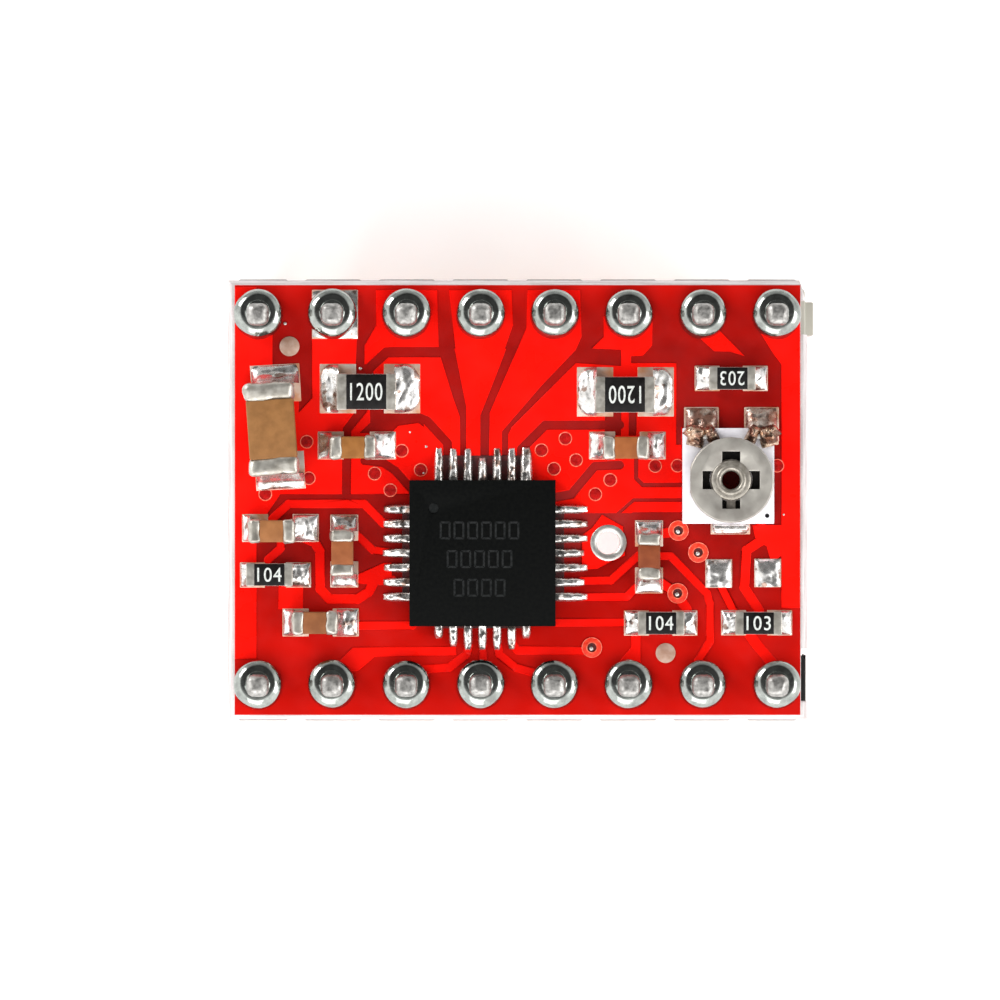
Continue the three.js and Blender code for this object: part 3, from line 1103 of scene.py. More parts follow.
# The upper face. Bright pours come first, then the bare gaps between them, then the tracks.
UPPER_COPPER: tuple[Shape, ...] = (
    # pours
    rectangle(C, (-9.7, -5.45), (-8.95, 7.3)),
    rectangle(C, (-9.7, 4.4), (-8.4, 5.7)),
    rectangle(C, (-9.7, -0.45), (5.65, 5.2)),
    Patch(C, ((-7.05, 5.7), (-5.5, 5.7), (-5.5, 2.4), (-7.6, 2.4), (-7.05, 3.35))),
    Patch(C, (
        (-4.85, 7.2), (-2.75, 7.2), (-2.7, 5.25), (-4.4, 5.25), (-5.0, 4.6), (-5.25, 4.6),
        (-5.25, 5.3), (-4.85, 6.0),
    )),
    Patch(C, ((-2.35, 7.2), (-0.2, 7.2), (-0.15, 6.0), (-0.5, 5.0), (-2.1, 4.9))),
    Patch(C, ((0.35, 7.2), (2.15, 7.2), (2.2, 5.6), (2.0, 5.1), (-0.1, 5.0), (0.3, 5.9))),
    Patch(C, (
        (2.95, 6.3), (4.65, 6.3), (4.62, 5.3), (4.3, 4.95), (3.85, 4.9), (3.85, 4.4), (3.55, 4.4),
        (3.55, 5.15), (2.55, 5.2), (2.95, 5.6),
    )),
    Patch(C, ((8.35, 5.7), (9.7, 6.2), (9.7, -3.7), (9.05, -3.7), (9.05, 4.65), (8.75, 5.05))),
    # gaps, from left to right
    Patch(B, (
        (-8.4, 4.55), (-7.5, 4.55), (-7.5, 3.0), (-7.05, 3.5), (-7.05, 7.3), (-8.0, 7.3),
        (-8.4, 5.6),
    )),
    Track(B, 0.34, ((-5.35, 4.45), (-5.1, 4.5), (-4.5, 5.07), (-2.45, 5.07))),
    Patch(B, (
        (-5.5, 5.7), (-5.25, 5.3), (-5.25, 4.6), (-4.95, 4.45), (-4.75, 3.1), (-5.55, 3.1),
        (-5.55, 4.4),
    )),
    Track(B, 0.3, ((-5.3, 3.1), (-5.55, 2.8), (-5.85, 2.4), (-5.87, 0.15))),
    Patch(B, (
        (-5.05, 3.1), (-5.05, 2.65), (-5.42, 2.3), (-4.35, 2.25), (-4.1, 2.55), (-3.4, 2.65),
        (-3.2, 2.5), (-3.3, 2.95), (-3.6, 3.05),
    )),
    Track(B, 0.3, ((-3.45, 2.86), (-3.1, 2.72), (-2.4, 1.95), (-2.38, 1.2))),
    Track(B, 0.28, ((-5.25, 1.35), (-4.6, 1.28), (-4.2, 1.02), (-3.6, 0.35))),
    Patch(B, (
        (-2.75, 7.3), (-2.35, 7.3), (-2.33, 5.9), (-2.1, 4.9), (-1.76, 3.2), (-1.76, 0.7),
        (-1.95, 0.7), (-1.97, 2.85), (-2.2, 3.5), (-2.65, 4.95), (-2.7, 5.25),
    )),
    Patch(B, (
        (-0.2, 7.3), (0.35, 7.3), (0.3, 5.9), (0.0, 5.2), (-0.95, 3.0), (-1.0, 0.7), (-1.27, 0.7),
        (-1.27, 2.9), (-0.45, 5.0), (-0.15, 6.0),
    )),
    Patch(B, (
        (2.15, 7.3), (2.95, 7.3), (2.95, 5.6), (2.55, 5.2), (3.55, 5.15), (3.55, 4.6), (2.0, 4.7),
        (1.75, 4.45), (-0.2, 2.5), (-0.32, 2.25), (-0.32, 0.7), (-0.53, 0.7), (-0.53, 2.35),
        (0.85, 3.95), (2.0, 5.15), (2.2, 5.6),
    )),
    Track(B, 0.31, ((0.12, 1.2), (0.14, 1.75), (0.95, 2.57), (3.5, 2.57))),
    Patch(B, ((3.0, 3.05), (3.55, 3.05), (3.55, 2.2), (3.0, 2.25))),
    rectangle(B, (3.82, 2.2), (4.08, 3.2)),
    Track(B, 0.3, ((1.3, 0.1), (1.85, 0.2), (2.65, 1.16), (3.5, 1.2))),
    Patch(B, (
        (4.65, 7.3), (8.3, 7.3), (8.3, 5.6), (8.75, 5.0), (9.02, 4.6), (9.02, 2.5), (5.62, 2.5),
        (5.62, 1.9), (5.45, 1.9), (5.45, 4.7), (3.9, 4.7), (3.9, 4.93), (4.3, 4.95), (4.62, 5.3),
    )),
    Patch(C, ((6.25, 5.55), (6.95, 5.8), (7.3, 5.45), (7.8, 4.93), (7.3, 5.08), (6.75, 5.1))),
    Track(B, 0.14, ((5.7, 0.52), (4.3, 0.52), (4.07, 0.75), (4.07, 1.4))),
    Track(B, 0.12, ((5.7, 0.0), (3.98, 0.0), (3.3, -0.6))),
    Patch(B, (
        (5.7, -0.42), (3.95, -0.42), (3.62, -0.75), (3.7, -1.9), (1.3, -0.5), (1.3, -5.6),
        (9.7, -5.6), (9.7, -3.75), (9.02, -3.75), (9.02, -0.9), (5.7, -0.9),
    )),
    # tracks of the lower left
    rectangle(B, (-8.9, -5.6), (-3.6, 0.2)),
    Patch(C, ((-9.0, 0.25), (-8.1, 0.25), (-8.3, -0.05), (-8.6, -0.5), (-9.0, -0.5))),
    Track(C, 0.3, ((-8.5, -0.75), (-7.85, -0.13), (-5.25, -0.13), (-4.6, -0.8), (-4.3, -0.82))),
    Track(C, 0.34, (
        (-7.3, -1.3), (-6.95, -1.45), (-6.77, -1.75), (-6.77, -3.05), (-6.45, -3.4), (-5.5, -3.4),
        (-5.1, -3.15), (-4.9, -2.75), (-4.3, -2.75),
    )),
    Patch(C, ((-5.5, -2.55), (-4.6, -2.15), (-4.3, -2.15), (-4.3, -2.9), (-5.1, -2.9), (-5.5, -2.85))),
    Track(C, 0.28, ((-5.6, -1.1), (-5.45, -1.25), (-4.95, -1.72), (-4.3, -1.8))),
    Track(C, 0.3, ((-8.1, -1.2), (-8.12, -1.65), (-8.55, -2.05))),
    rectangle(C, (-8.2, -3.75), (-7.35, -2.9)),
    Track(C, 0.3, ((-5.7, -4.3), (-3.6, -4.3))),
    Patch(C, (
        (-6.1, -5.5), (-5.65, -5.05), (-2.1, -5.02), (-2.1, -5.32), (-4.9, -5.38), (-5.45, -5.85),
        (-6.1, -5.95),
    )),
    Track(C, 0.3, ((-1.68, -5.0), (-1.75, -5.3), (-2.35, -5.75), (-3.2, -5.8))),
    Track(C, 0.26, ((-1.18, -5.0), (-1.18, -5.8))),
    Track(C, 0.3, ((-0.68, -5.0), (-0.62, -5.3), (-0.05, -5.75), (0.7, -5.95))),
    Track(C, 0.3, ((-0.18, -4.9), (0.0, -5.15), (2.4, -5.18))),
    # tracks of the lower right
    Track(C, 0.28, ((1.3, -4.2), (4.0, -4.2))),
    Track(C, 0.28, ((2.2, -3.32), (3.75, -3.32), (4.15, -2.9))),
    Track(C, 0.28, (
        (2.2, -2.76), (3.2, -2.76), (4.15, -1.9), (5.25, -1.92), (6.5, -3.2), (6.6, -3.55),
        (6.6, -4.85), (6.2, -5.5),
    )),
    Patch(C, (
        (2.2, -2.4), (2.2, -1.2), (2.55, -0.95), (2.9, -0.5), (3.62, -0.9), (3.7, -1.9),
        (2.75, -2.35),
    )),
    Track(C, 0.3, ((1.9, -0.32), (2.6, 0.15))),
    Track(C, 0.34, ((4.8, -1.15), (5.5, -1.1))),
    Track(C, 0.36, ((4.8, -2.75), (5.45, -3.2), (5.8, -3.75))),
    Track(C, 0.3, ((6.95, -2.9), (7.4, -3.8))),
    Track(C, 0.34, ((8.35, -0.7), (8.35, -1.4), (7.85, -1.72), (7.78, -3.0), (8.3, -3.8))),
    Patch(C, ((8.05, -0.85), (9.05, -0.85), (9.05, -1.9), (8.7, -2.2), (8.55, -1.6), (8.15, -1.3))),
    Track(C, 0.36, ((7.95, -4.6), (8.2, -4.95), (8.75, -5.6))),
    Patch(C, ((3.9, -4.6), (4.22, -4.6), (4.22, -5.6), (3.4, -5.65), (3.9, -5.05))),
)

# The lower face: one wide pour, cut by a few tracks that join the two rows.
LOWER_COPPER: tuple[Shape, ...] = (
    rectangle(C, (-9.4, -5.6), (9.4, 5.6)),
    *isolated(0.35, 0.75, ((-7.6, 5.6), (-7.6, 2.6), (-3.9, 2.6), (-3.9, 4.4), (3.9, 4.4), (3.9, 5.6))),
    *isolated(0.32, 0.7, ((5.5, -1.05), (5.5, 2.6), (8.6, 2.6), (8.6, -4.0), (6.35, -4.0), (6.35, -5.6))),
    *isolated(0.32, 0.7, ((5.49, -3.2), (2.55, -3.2), (2.55, -5.06), (-3.8, -5.0), (-3.8, -5.6))),
    *isolated(0.28, 0.6, ((-8.6, -5.6), (-8.6, -3.0), (-5.2, -3.0), (-5.2, -5.6))),
)


# ---------------------------------------------------------------- circuit board

PAD_TOP = 0.066  # the top of a plated pad over the board's face
SOLDER_FOOT = 0.06  # where solder on a pad starts over that face

# The profile of a drop of splashed solder, as shares of its radius.
DROP: tuple[Point, ...] = ((0, 0.0), (1.0, 0.0), (0.9, 0.4), (0.5, 0.7), (0, 0.8))


@dataclass
class Board:
    """The board's coatings, pads and holes.

    Attributes:
        mask: The thickness of the solder mask.
        copper: How far mask over copper stands off the laminate.
        score: How far the scored edges reach in.
        side_margin: The laminate left bare at the short edges.
        long_margin: The laminate left bare at the long edges.
        tented: The covered vias.
        open_vias: The vias that solder mask has left open.
        fiducials: The bare copper discs for the placing machine, each with its radius.
        spare_pads: The two soldered pads with no part.
        test_hole: The middle of the wide plated hole.
        splashes: The small drops of splashed solder, each with its radius.
        middle: The middle of the board's box.
        low: The lowest corner of that box.
        high: The highest corner.
    """

    mask: float = 0.02
    copper: float = 0.055
    score: float = 0.16
    side_margin: float = 0.09
    long_margin: float = 0.02
    tented: tuple[Point, ...] = (
        (-7.23, 2.0), (-3.97, 1.69), (-4.9, 0.91), (-4.36, 0.34), (-7.16, 0.75), (-8.65, 0.2),
        (0.82, 1.71), (1.64, 2.11), (2.01, 1.37), (1.25, 1.07), (2.67, 0.2), (3.18, 0.69),
        (4.72, 1.17), (5.49, 1.18), (8.91, 1.18), (-3.32, 1.03),
    )
    open_vias: tuple[Point, ...] = ((5.52, -1.05), (6.2, -1.8), (5.49, -3.2), (2.55, -5.06))
    fiducials: tuple[Triple, ...] = ((-7.82, 5.27, 0.34), (5.08, -5.25, 0.34))
    spare_pads: tuple[Point, ...] = ((6.9, -2.52), (8.58, -2.5))
    test_hole: Point = (3.12, -1.47)
    splashes: tuple[Triple, ...] = (
        (-3.69, 2.33, 0.04), (-3.13, 1.83, 0.05), (-3.22, 0.92, 0.04), (-5.39, 4.51, 0.06),
        (9.13, -0.5, 0.04), (-7.97, 6.05, 0.06), (-2.65, 0.66, 0.05),
    )
    middle: Vector = field(init=False)
    low: Vector = field(init=False)
    high: Vector = field(init=False)

    def __post_init__(self) -> None:
        """Read the board's place from the frame."""
        self.low, self.high = box_of("circuit_board")
        self.middle = (self.low + self.high) / 2

    @property
    def top(self) -> float:
        """The height of the component side."""
        return self.high.z

    @property
    def face(self) -> tuple[float, float]:
        """Half the length and width of the flat face inside the scored edges."""
        return self.high.x - self.score, self.high.y - self.score

    def coating(self, holes: Sequence[Shape]) -> BMesh:
        """The flat outline of the solder mask, with its holes."""
        x, y = self.face[0] - self.side_margin, self.face[1] - self.long_margin
        return painted_sheet((rectangle(C, (-x, -y), (x, y)), *holes))

    def build(self) -> None:
        """Make every coating, pad and via."""
        soft = soft_copy("circuit_board", 0.03, segments=1, crease=60)
        finish_piece("board_laminate", soft, GLASS_LAMINATE, stands_for=["circuit_board"])
        hole = Disc(B, self.test_hole, 0.5)
        self._coat("upper", hole)
        self._coat("lower", hole)
        self._vias()
        self._bare_pads()
        self._test_hole()

    def _coat(self, side: str, hole: Disc) -> None:
        """Lay the mask and the masked copper on one face.

        Args:
            side: upper or lower.
            hole: The wide hole that both leave open.
        """
        mask = self.coating((hole,))
        raise_sheet(mask, 0.0, self.mask, slope=0.015)
        plan = UPPER_COPPER if side == "upper" else LOWER_COPPER
        inside, past = 0.01, 3
        x = self.face[0] - self.side_margin - inside
        y = self.face[1] - self.long_margin - inside
        fence = (
            rectangle(B, (-x - past, y), (x + past, y + past)),
            rectangle(B, (-x - past, -y - past), (x + past, -y)),
            rectangle(B, (x, -y - past), (x + past, y + past)),
            rectangle(B, (-x - past, -y - past), (-x, y + past)),
            Disc(B, self.test_hole, hole.radius + 0.12),
        )
        copper = painted_sheet((*plan, *fence))
        raise_sheet(copper, self.mask / 2, self.copper, slope=0.022)
        for mesh, name, finish in (
            (mask, f"{side}_solder_mask", MASK_ON_LAMINATE),
            (copper, f"{side}_masked_copper", MASK_ON_COPPER),
        ):
            if side == "lower":
                bmesh.ops.scale(mesh, vec=(1, 1, -1), verts=mesh.verts)
                bmesh.ops.reverse_faces(mesh, faces=mesh.faces)
                bmesh.ops.translate(mesh, vec=(0, 0, self.low.z), verts=mesh.verts)
            else:
                bmesh.ops.translate(mesh, vec=(0, 0, self.top), verts=mesh.verts)
            finish_piece(name, mesh, finish)

    def _vias(self) -> None:
        """Dimples with raised rims, and open plated vias. The pale colour of the rims is a painted
        highlight, and the dark wells of the open vias are painted shade.
        """
        cap = ((0, 0.0), (0.2, 0.0), (0.2, 0.058), (0.16, 0.066), (0.1, 0.06), (0, 0.057))
        rim = ((0.2, 0.03), (0.236, 0.03), (0.234, 0.062), (0.218, 0.074), (0.202, 0.068), (0.2, 0.03))
        collar = ((0, 0.0), (0.34, 0.0), (0.34, 0.055), (0.31, 0.066), (0, 0.064))
        lip = (
            (0.325, 0.03), (0.352, 0.03), (0.35, 0.064), (0.338, 0.072), (0.326, 0.066), (0.325, 0.03),
        )
        ring = ((0.15, 0.05), (0.2, 0.05), (0.2, 0.075), (0.185, 0.09), (0.165, 0.09), (0.15, 0.05))
        well = ((0, 0.04), (0.155, 0.04), (0.155, 0.078), (0.12, 0.072), (0, 0.07))
        size, flat = 0.075, 0.6
        rounds = [(size * math.cos(t), size * math.sin(t)) for t in (-1.57, -1, -0.5, 0, 0.5, 1, 1.57)]
        bead = [(max(0.0, out), flat * up) for out, up in rounds]
        caps, rims, collars, wells, beads = (bmesh.new() for _ in range(5))
        for at in self.tented:
            place = (*at, self.top)
            turned(caps, cap, place, 20)
            turned(rims, rim, place, 24)
        for at in self.open_vias:
            place = (*at, self.top)
            turned(collars, collar, place, 28)
            turned(rims, lip, place, 28)
            turned(rims, ring, place, 20)
            turned(wells, well, place, 20)
            turned(beads, bead, (at[0] - 0.02, at[1] - 0.04, self.top + size), 12)
        for x, y, radius in self.splashes:
            drop = [(out * radius, up * radius) for out, up in DROP]
            turned(beads, drop, (x, y, self.top + self.copper - 0.003), 10)
        finish_piece("via_caps", caps, VIA_CAP)
        # The pale colour of these rims is a painted highlight.
        finish_piece("via_rim_highlights", rims, VIA_RIM_HIGHLIGHT)
        finish_piece("open_via_collars", collars, VIA_COLLAR)
        # Dark discs of painted shade that stand in for the holes of the open vias.
        finish_piece("open_via_hole_shades", wells, VIA_HOLE_SHADE)
        finish_piece("solder_beads", beads, TINNED_COPPER)

    def _bare_pads(self) -> None:
        """The fiducials and the two spare pads with their solder."""
        discs = bmesh.new()
        for x, y, radius in self.fiducials:
            outline = ((0, 0.0), (radius, 0.0), (radius, 0.05), (radius - 0.02, 0.062), (0, 0.066))
            turned(discs, outline, (x, y, self.top), 28)
        finish_piece("fiducials", discs, FIDUCIAL_COPPER)
        rims, solder = bmesh.new(), bmesh.new()
        wide, long = 0.46, 0.49
        for x, y in self.spare_pads:
            far = (x + wide, y + long, self.top + 0.065)
            rounded_block(rims, (x - wide, y - long, self.top), far, 0.02)
            flat = Fillet(length=0.94, width=0.86, rise=0.12, tail=0.09, crown=0.06, seed=round(10 * x))
            flat.add(solder, (x, y + long - 0.02, self.top + SOLDER_FOOT), -90.0)
        finish_piece("spare_pad_copper", rims, PAD_RIM)
        finish_piece("spare_pad_solder", solder, PAD_SOLDER)

    def _test_hole(self) -> None:
        """The tinned ring and barrel of the wide plated hole."""
        ring = bmesh.new()
        height = self.top - self.low.z
        profile = (
            (0.4, -height - 0.05), (0.62, -height - 0.05), (0.62, -height - 0.01), (0.448, -height + 0.02),
            (0.448, -0.02), (0.62, 0.01), (0.62, 0.05), (0.585, 0.072), (0.47, 0.066), (0.4, 0.02),
            (0.4, -height - 0.05),
        )
        turned(ring, profile, (*self.test_hole, self.top), 32)
        finish_piece("test_hole_plating", ring, TINNED_COPPER)


# ---------------------------------------------------------------- solder


@dataclass(frozen=True)
class Fillet:
    """Solder that runs up from a pad to the end of a part, slightly uneven.

    Attributes:
        length: From the pad's outer end to the part.
        width: Across the pad.
        rise: Its height against the part.
        tail: Its height at the outer end.
        crown: How much its middle swells.
        nose: How much narrower its outer end is.
        seed: What its unevenness starts from.
        lumps: How uneven its height is, as a share.
        ripple: The height of its finer waves.
        below: How far it reaches down into the pad.
        steps: How many steps run along it and across it.
    """

    length: float
    width: float
    rise: float
    tail: float = 0.05
    crown: float = 0.03
    nose: float = 0.05
    seed: int = 0
    lumps: float = 0.34
    ripple: float = 0.035
    below: float = 0.01
    steps: tuple[int, int] = (18, 14)

    def add(self, mesh: BMesh, at: Sequence[float], degrees: float) -> None:
        """Add the fillet to a mesh.

        Args:
            mesh: The mesh to add to.
            at: The middle of its outer end, on the pad.
            degrees: The way that it runs from there, anticlockwise from +X.
        """
        before = set(mesh.verts)
        long, wide = self.steps
        grid = bmesh.ops.create_grid(mesh, x_segments=long, y_segments=wide, size=0.5)["verts"]
        faces = list({face for vert in grid for face in vert.link_faces})
        bend = min(4.0, 1.5 + self.rise / self.length)
        for vert in grid:
            along, across = vert.co.x + 0.5, 2 * vert.co.y
            edge = (1 - abs(across) ** 6) * (1 - (1 - along) ** 10)
            far, aside = along * self.length, across * self.width
            wave = noise_at(Vector((3.6 * far, 1.8 * aside, 1.7 * self.seed)))
            fine = noise_at(Vector((7.5 * far, 3.8 * aside, 9 + 2.3 * self.seed)))
            arch = math.sin(math.pi * along) * (1 - across * across)
            height = self.tail + (self.rise - self.tail) * along**bend + self.crown * arch
            height *= (0.25 + 0.75 * edge) * (1 + self.lumps * wave)
            vert.co.z = max(0.004, height + self.ripple * fine * edge)
            pinch = 1 - self.nose * (1 - along) ** 5 + 0.04 * wave
            vert.co.x, vert.co.y = along * self.length, 0.5 * across * self.width * pinch
        walls = bmesh.ops.extrude_face_region(mesh, geom=faces, use_keep_orig=True)["geom"]
        for item in walls:
            if isinstance(item, BMVert):
                item.co.z = -self.below
        made = [vert for vert in mesh.verts if vert not in before]
        shell = list({face for vert in made for face in vert.link_faces})
        bmesh.ops.recalc_face_normals(mesh, faces=shell)
        place = Matrix.Translation(Vector(at)) @ Matrix.Rotation(math.radians(degrees), 4, "Z")
        bmesh.ops.transform(mesh, matrix=place, verts=made)


# ---------------------------------------------------------------- pin headers


@dataclass
class HeaderRow:
    """A pin header: its plastic strip, its pins and their solder joints.

    Attributes:
        name: The row's name in the frame.
        pins: How many pins it has.
        square_pad: The number of the pin whose pad is square, or 0.
        height: The height of a joint.
        radius: The radius of a joint.
        radius_spread: The least and most of that radius that a joint has.
        height_spread: The same for its height.
        lean: How far the top of a joint leans along X and Y.
        lean_spread: How much more or less it may lean.
        sink: How far a pin's end is lowered, to lie under its skin of solder.
        skin: Half the width of that skin.
        dome: The profile of a joint, as shares of its radius and height.
    """

    name: str
    pins: int = 8
    square_pad: int = 0
    height: float = 0.72
    radius: float = 0.85
    radius_spread: Span = (0.975, 1.01)
    height_spread: Span = (0.94, 1.04)
    lean: Point = (0.0, 0.1)
    lean_spread: float = 0.02
    sink: float = 0.2
    skin: float = 0.38
    dome: tuple[Point, ...] = (
        (1.0, 0.0), (1.0, 0.12), (0.992, 0.28), (0.982, 0.42), (0.97, 0.53), (0.955, 0.59), (0.93, 0.64),
        (0.87, 0.705), (0.8, 0.77), (0.74, 0.815), (0.7, 0.836), (0.66, 0.845), (0.62, 0.852), (0.55, 0.86),
        (0.49, 0.868), (0.465, 0.9), (0.45, 1.0), (0.44, 1.1),
    )

    def build(self, board: Board) -> None:
        """Make the whole row.

        Args:
            board: The board that it is soldered to.
        """
        strip = soft_copy(f"{self.name}_header_strip", 0.05, crease=35)
        node = f"{self.name}_header_strip"
        finish_piece(f"{self.name}_strip_moulding", strip, BLACK_PLASTIC, stands_for=[node])
        for number in range(1, self.pins + 1):
            self._pin(number)
            self._joint(number, board)
        self._pads(board)

    def _pin(self, number: int) -> None:
        """Round the edges of one pin and lower its upper end.

        Args:
            number: The pin's number.
        """
        node = f"{self.name}_pin_{number}"
        pin = soft_copy(node, 0.035, crease=20)
        end = max(vert.co.z for vert in pin.verts) - 2 * self.sink
        for vert in pin.verts:
            vert.co.z -= self.sink if vert.co.z > end else 0.0
        finish_piece(f"{self.name}_contact_{number}", pin, PLATED_PIN, stands_for=[node])

    def _joint(self, number: int, board: Board) -> None:
        """Solder one pin, with a joint that is a little different from its neighbours.

        Args:
            number: The pin's number.
            board: The board that it is soldered to.
        """
        node = f"{self.name}_solder_joint_{number}"
        centre = middle_of(node)
        draw = random.Random(f"{self.name}{number}")
        radius = self.radius * draw.uniform(*self.radius_spread)
        mesh = bmesh.new()
        rise = self.height * draw.uniform(*self.height_spread)
        dome = [(out * radius, up * rise) for out, up in self.dome]
        profile = [(0.0, 0.0), *dome, (0.0, dome[-1][1])]
        verts = turned(mesh, profile, (centre.x, centre.y, board.top + board.copper), 40)
        more = self.lean_spread
        lean = Vector((*(way + draw.uniform(-more, more) for way in self.lean), 0))
        for vert in verts:
            up = max(0.0, (vert.co.z - board.top) / rise)
            wave = noise_at(Vector((1.6 * vert.co.x, 1.6 * vert.co.y, 2 * number + vert.co.z)))
            out = Vector((vert.co.x - centre.x, vert.co.y - centre.y, 0))
            vert.co += lean * up + out * 0.025 * wave
        finish_piece(f"{self.name}_joint_{number}", mesh, DOME_SOLDER, stands_for=[node])
        self._tip(number, centre)

    def _tip(self, number: int, centre: Vector) -> None:
        """The skin of solder over the tip of a pin, which softens its corners.

        Args:
            number: The pin's number.
            centre: The middle of its joint.
        """
        mesh = bmesh.new()
        half = self.skin
        top = box_of(f"{self.name}_pin_{number}")[1].z - 0.13
        low = (centre.x - half, centre.y - half, top - 1.05)
        rounded_block(mesh, low, (centre.x + half, centre.y + half, top + 0.02), 0.26, 6)
        bmesh.ops.subdivide_edges(mesh, edges=mesh.edges, cuts=1, use_grid_fill=True, smooth=0.0)
        for vert in mesh.verts:
            bump = noise_at(Vector((3.4 * vert.co.x, 3.4 * vert.co.y, 5.5 * number)))
            vert.co.z += 0.06 * bump if vert.co.z > top - 0.3 else 0.0
        finish_piece(f"{self.name}_tinned_tip_{number}", mesh, TIP_SOLDER)

    def _pads(self, board: Board) -> None:
        """The tinned rings under the joints, one of them square.

        Args:
            board: The board that they are on.
        """
        upper = ((0, 0.0), (0.785, 0.0), (0.785, 0.04), (0.76, 0.062), (0, 0.064))
        lower = ((0, 0.0), (0.82, 0.0), (0.82, -0.03), (0.79, -0.05), (0, -0.05))
        mesh, square = bmesh.new(), bmesh.new()
        for number in range(1, self.pins + 1):
            centre = middle_of(f"{self.name}_solder_joint_{number}")
            turned(mesh, upper, (centre.x, centre.y, board.top), 40)
            turned(mesh, lower, (centre.x, centre.y, board.low.z), 40)
            if number == self.square_pad:
                left, right = centre.x - 0.7, centre.x + 0.88
                low = (left, centre.y - 0.83, board.top)
                rounded_block(mesh, low, (right, centre.y + 0.86, board.top + PAD_TOP), 0.03)
                wetting = Fillet(right - left - 0.04, 1.62, 0.12, tail=0.12, crown=0.06, seed=3)
                wetting.add(square, (left + 0.02, centre.y + 0.015, board.top + SOLDER_FOOT), 0.0)
        finish_piece(f"{self.name}_row_pads", mesh, PAD_RIM)
        if self.square_pad:
            finish_piece(f"{self.name}_square_pad_solder", square, PAD_SOLDER)
        else:
            square.free()


# ---------------------------------------------------------------- driver chip


@dataclass
class DriverChip:
    """The square chip, its leads on all four sides and their solder.

    Attributes:
        leads: How many leads a side has.
        pitch: From lead to lead.
        lead: The width of a lead.
        pad: The width of the solder on a lead.
        wide_lead: How much wider the solder is on the first lead of the power side.
        reaches: How far the pads of each side reach out, first lead to last.
        marks: How many plain boxes each row of marking has.
        dimple: The middle of the dimple by the first lead, from the chip's middle.
        wells: How far the dark strip between the leads of each side reaches out.
    """

    leads: int = 7
    pitch: float = 0.5
    lead: float = 0.24
    pad: float = 0.31
    wide_lead: float = 1.35
    reaches: dict[float, tuple[float, ...]] = field(
        default_factory=lambda: {
            0.0: (1.1, 1.0, 1.1, 0.98, 1.1, 1.1, 1.1),
            90.0: (1.12, 1.1, 1.1, 0.78, 1.08, 1.08, 1.1),
            180.0: (0.88, 0.9, 0.9, 0.92, 0.88, 0.9, 0.9),
            270.0: (0.42, 0.7, 0.82, 0.82, 0.82, 0.8, 0.42),
        }
    )
    marks: tuple[int, ...] = (6, 5, 4)
    dimple: Point = (-1.67, 1.54)
    wells: dict[float, float] = field(
        default_factory=lambda: {0.0: 0.3, 90.0: 0.85, 180.0: 0.25, 270.0: 0.08}
    )

    def build(self, board: Board) -> None:
        """Make the body, leads, solder and marking.

        Args:
            board: The board that the chip sits on.
        """
        node = "driver_chip_body"
        body = soft_copy(node, 0.035, crease=60)
        finish_piece("driver_chip_moulding", body, MOULD_COMPOUND, stands_for=[node])
        dress("driver_chip_paddle", TINNED_COPPER)
        dress("driver_chip_die", POLISHED_SILICON)
        self._leads(board)
        self._marking()

    def _leads(self, board: Board) -> None:
        """The lead ends in the chip's sides, the solder on them and a dark strip laid between them.

        Args:
            board: The board that the leads are soldered to.
        """
        centre = middle_of("driver_chip_body")
        low, high = box_of("driver_chip_body")
        start = centre.x + (high.x - low.x) / 2
        run = self.leads * self.pitch / 2 - 0.15
        tips, solder, resin = bmesh.new(), bmesh.new(), bmesh.new()
        for side, reaches in self.reaches.items():
            turn = turned_about(centre, side)
            before = set(resin.verts), set(tips.verts), set(solder.verts)
            rounded_block(
                resin,
                (start - 0.1, centre.y - run, board.top + 0.01),
                (start + self.wells[side], centre.y + run, board.top + 0.06),
                0.01,
                1,
            )
            for i, reach in enumerate(reaches):
                y = centre.y + (i - (self.leads - 1) / 2) * self.pitch
                rounded_block(
                    tips,
                    (start - 0.3, y - self.lead / 2, board.top + 0.005),
                    (start + 0.012, y + self.lead / 2, board.top + 0.2),
                    0.012,
                )
                width = self.pad * (self.wide_lead if side == 90.0 and i == 0 else 1.0)
                seed = int(side) + 7 * i
                blob = Fillet(reach, width, 0.2, tail=0.12, crown=0.07, nose=0.45, seed=seed)
                blob.add(solder, (start + reach, y, board.top + 0.05), 180.0)
            for mesh, old in zip((resin, tips, solder), before):
                bmesh.ops.transform(mesh, matrix=turn, verts=[v for v in mesh.verts if v not in old])
        finish_piece("chip_lead_tips", tips, TINNED_COPPER)
        finish_piece("chip_lead_solder", solder, LEAD_SOLDER, sharp=60)
        finish_piece("dark_strips_between_leads", resin, DARK_LEAD_GAPS)

    def _marking(self) -> None:
        """Rows of plain faint boxes where a chip has its lettering."""
        centre = middle_of("driver_chip_body")
        top = box_of("driver_chip_body")[1].z
        mesh = bmesh.new()
        wide, tall, half = 0.15, 0.27, 0.035
        below, above = top - 0.004, top + 0.002
        for row, count in enumerate(self.marks):
            y = centre.y + 0.78 - row * 0.98
            for i in range(count):
                x = centre.x - 0.1 + (i - (count - 1) / 2) * 0.47
                for across in (-1, 1):
                    bar = x + across * wide
                    far = (bar + half, y + tall, above)
                    rounded_block(mesh, (bar - half, y - tall, below), far, 0.002, 1)
                    end = y + across * tall
                    far = (x + wide, end + half, above)
                    rounded_block(mesh, (x - wide, end - half, below), far, 0.002, 1)
        spot = (centre.x + self.dimple[0], centre.y + self.dimple[1], top - 0.062)
        turned(mesh, ((0, 0.0), (0.17, 0.0), (0.17, 0.003), (0.14, 0.006), (0, 0.006)), spot, 24)
        finish_piece("chip_marking_boxes", mesh, LASER_MARK)


# ---------------------------------------------------------------- chip parts


class Kind(Enum):
    """The two kinds of chip part."""

    RESISTOR = "resistor"
    CAPACITOR = "capacitor"


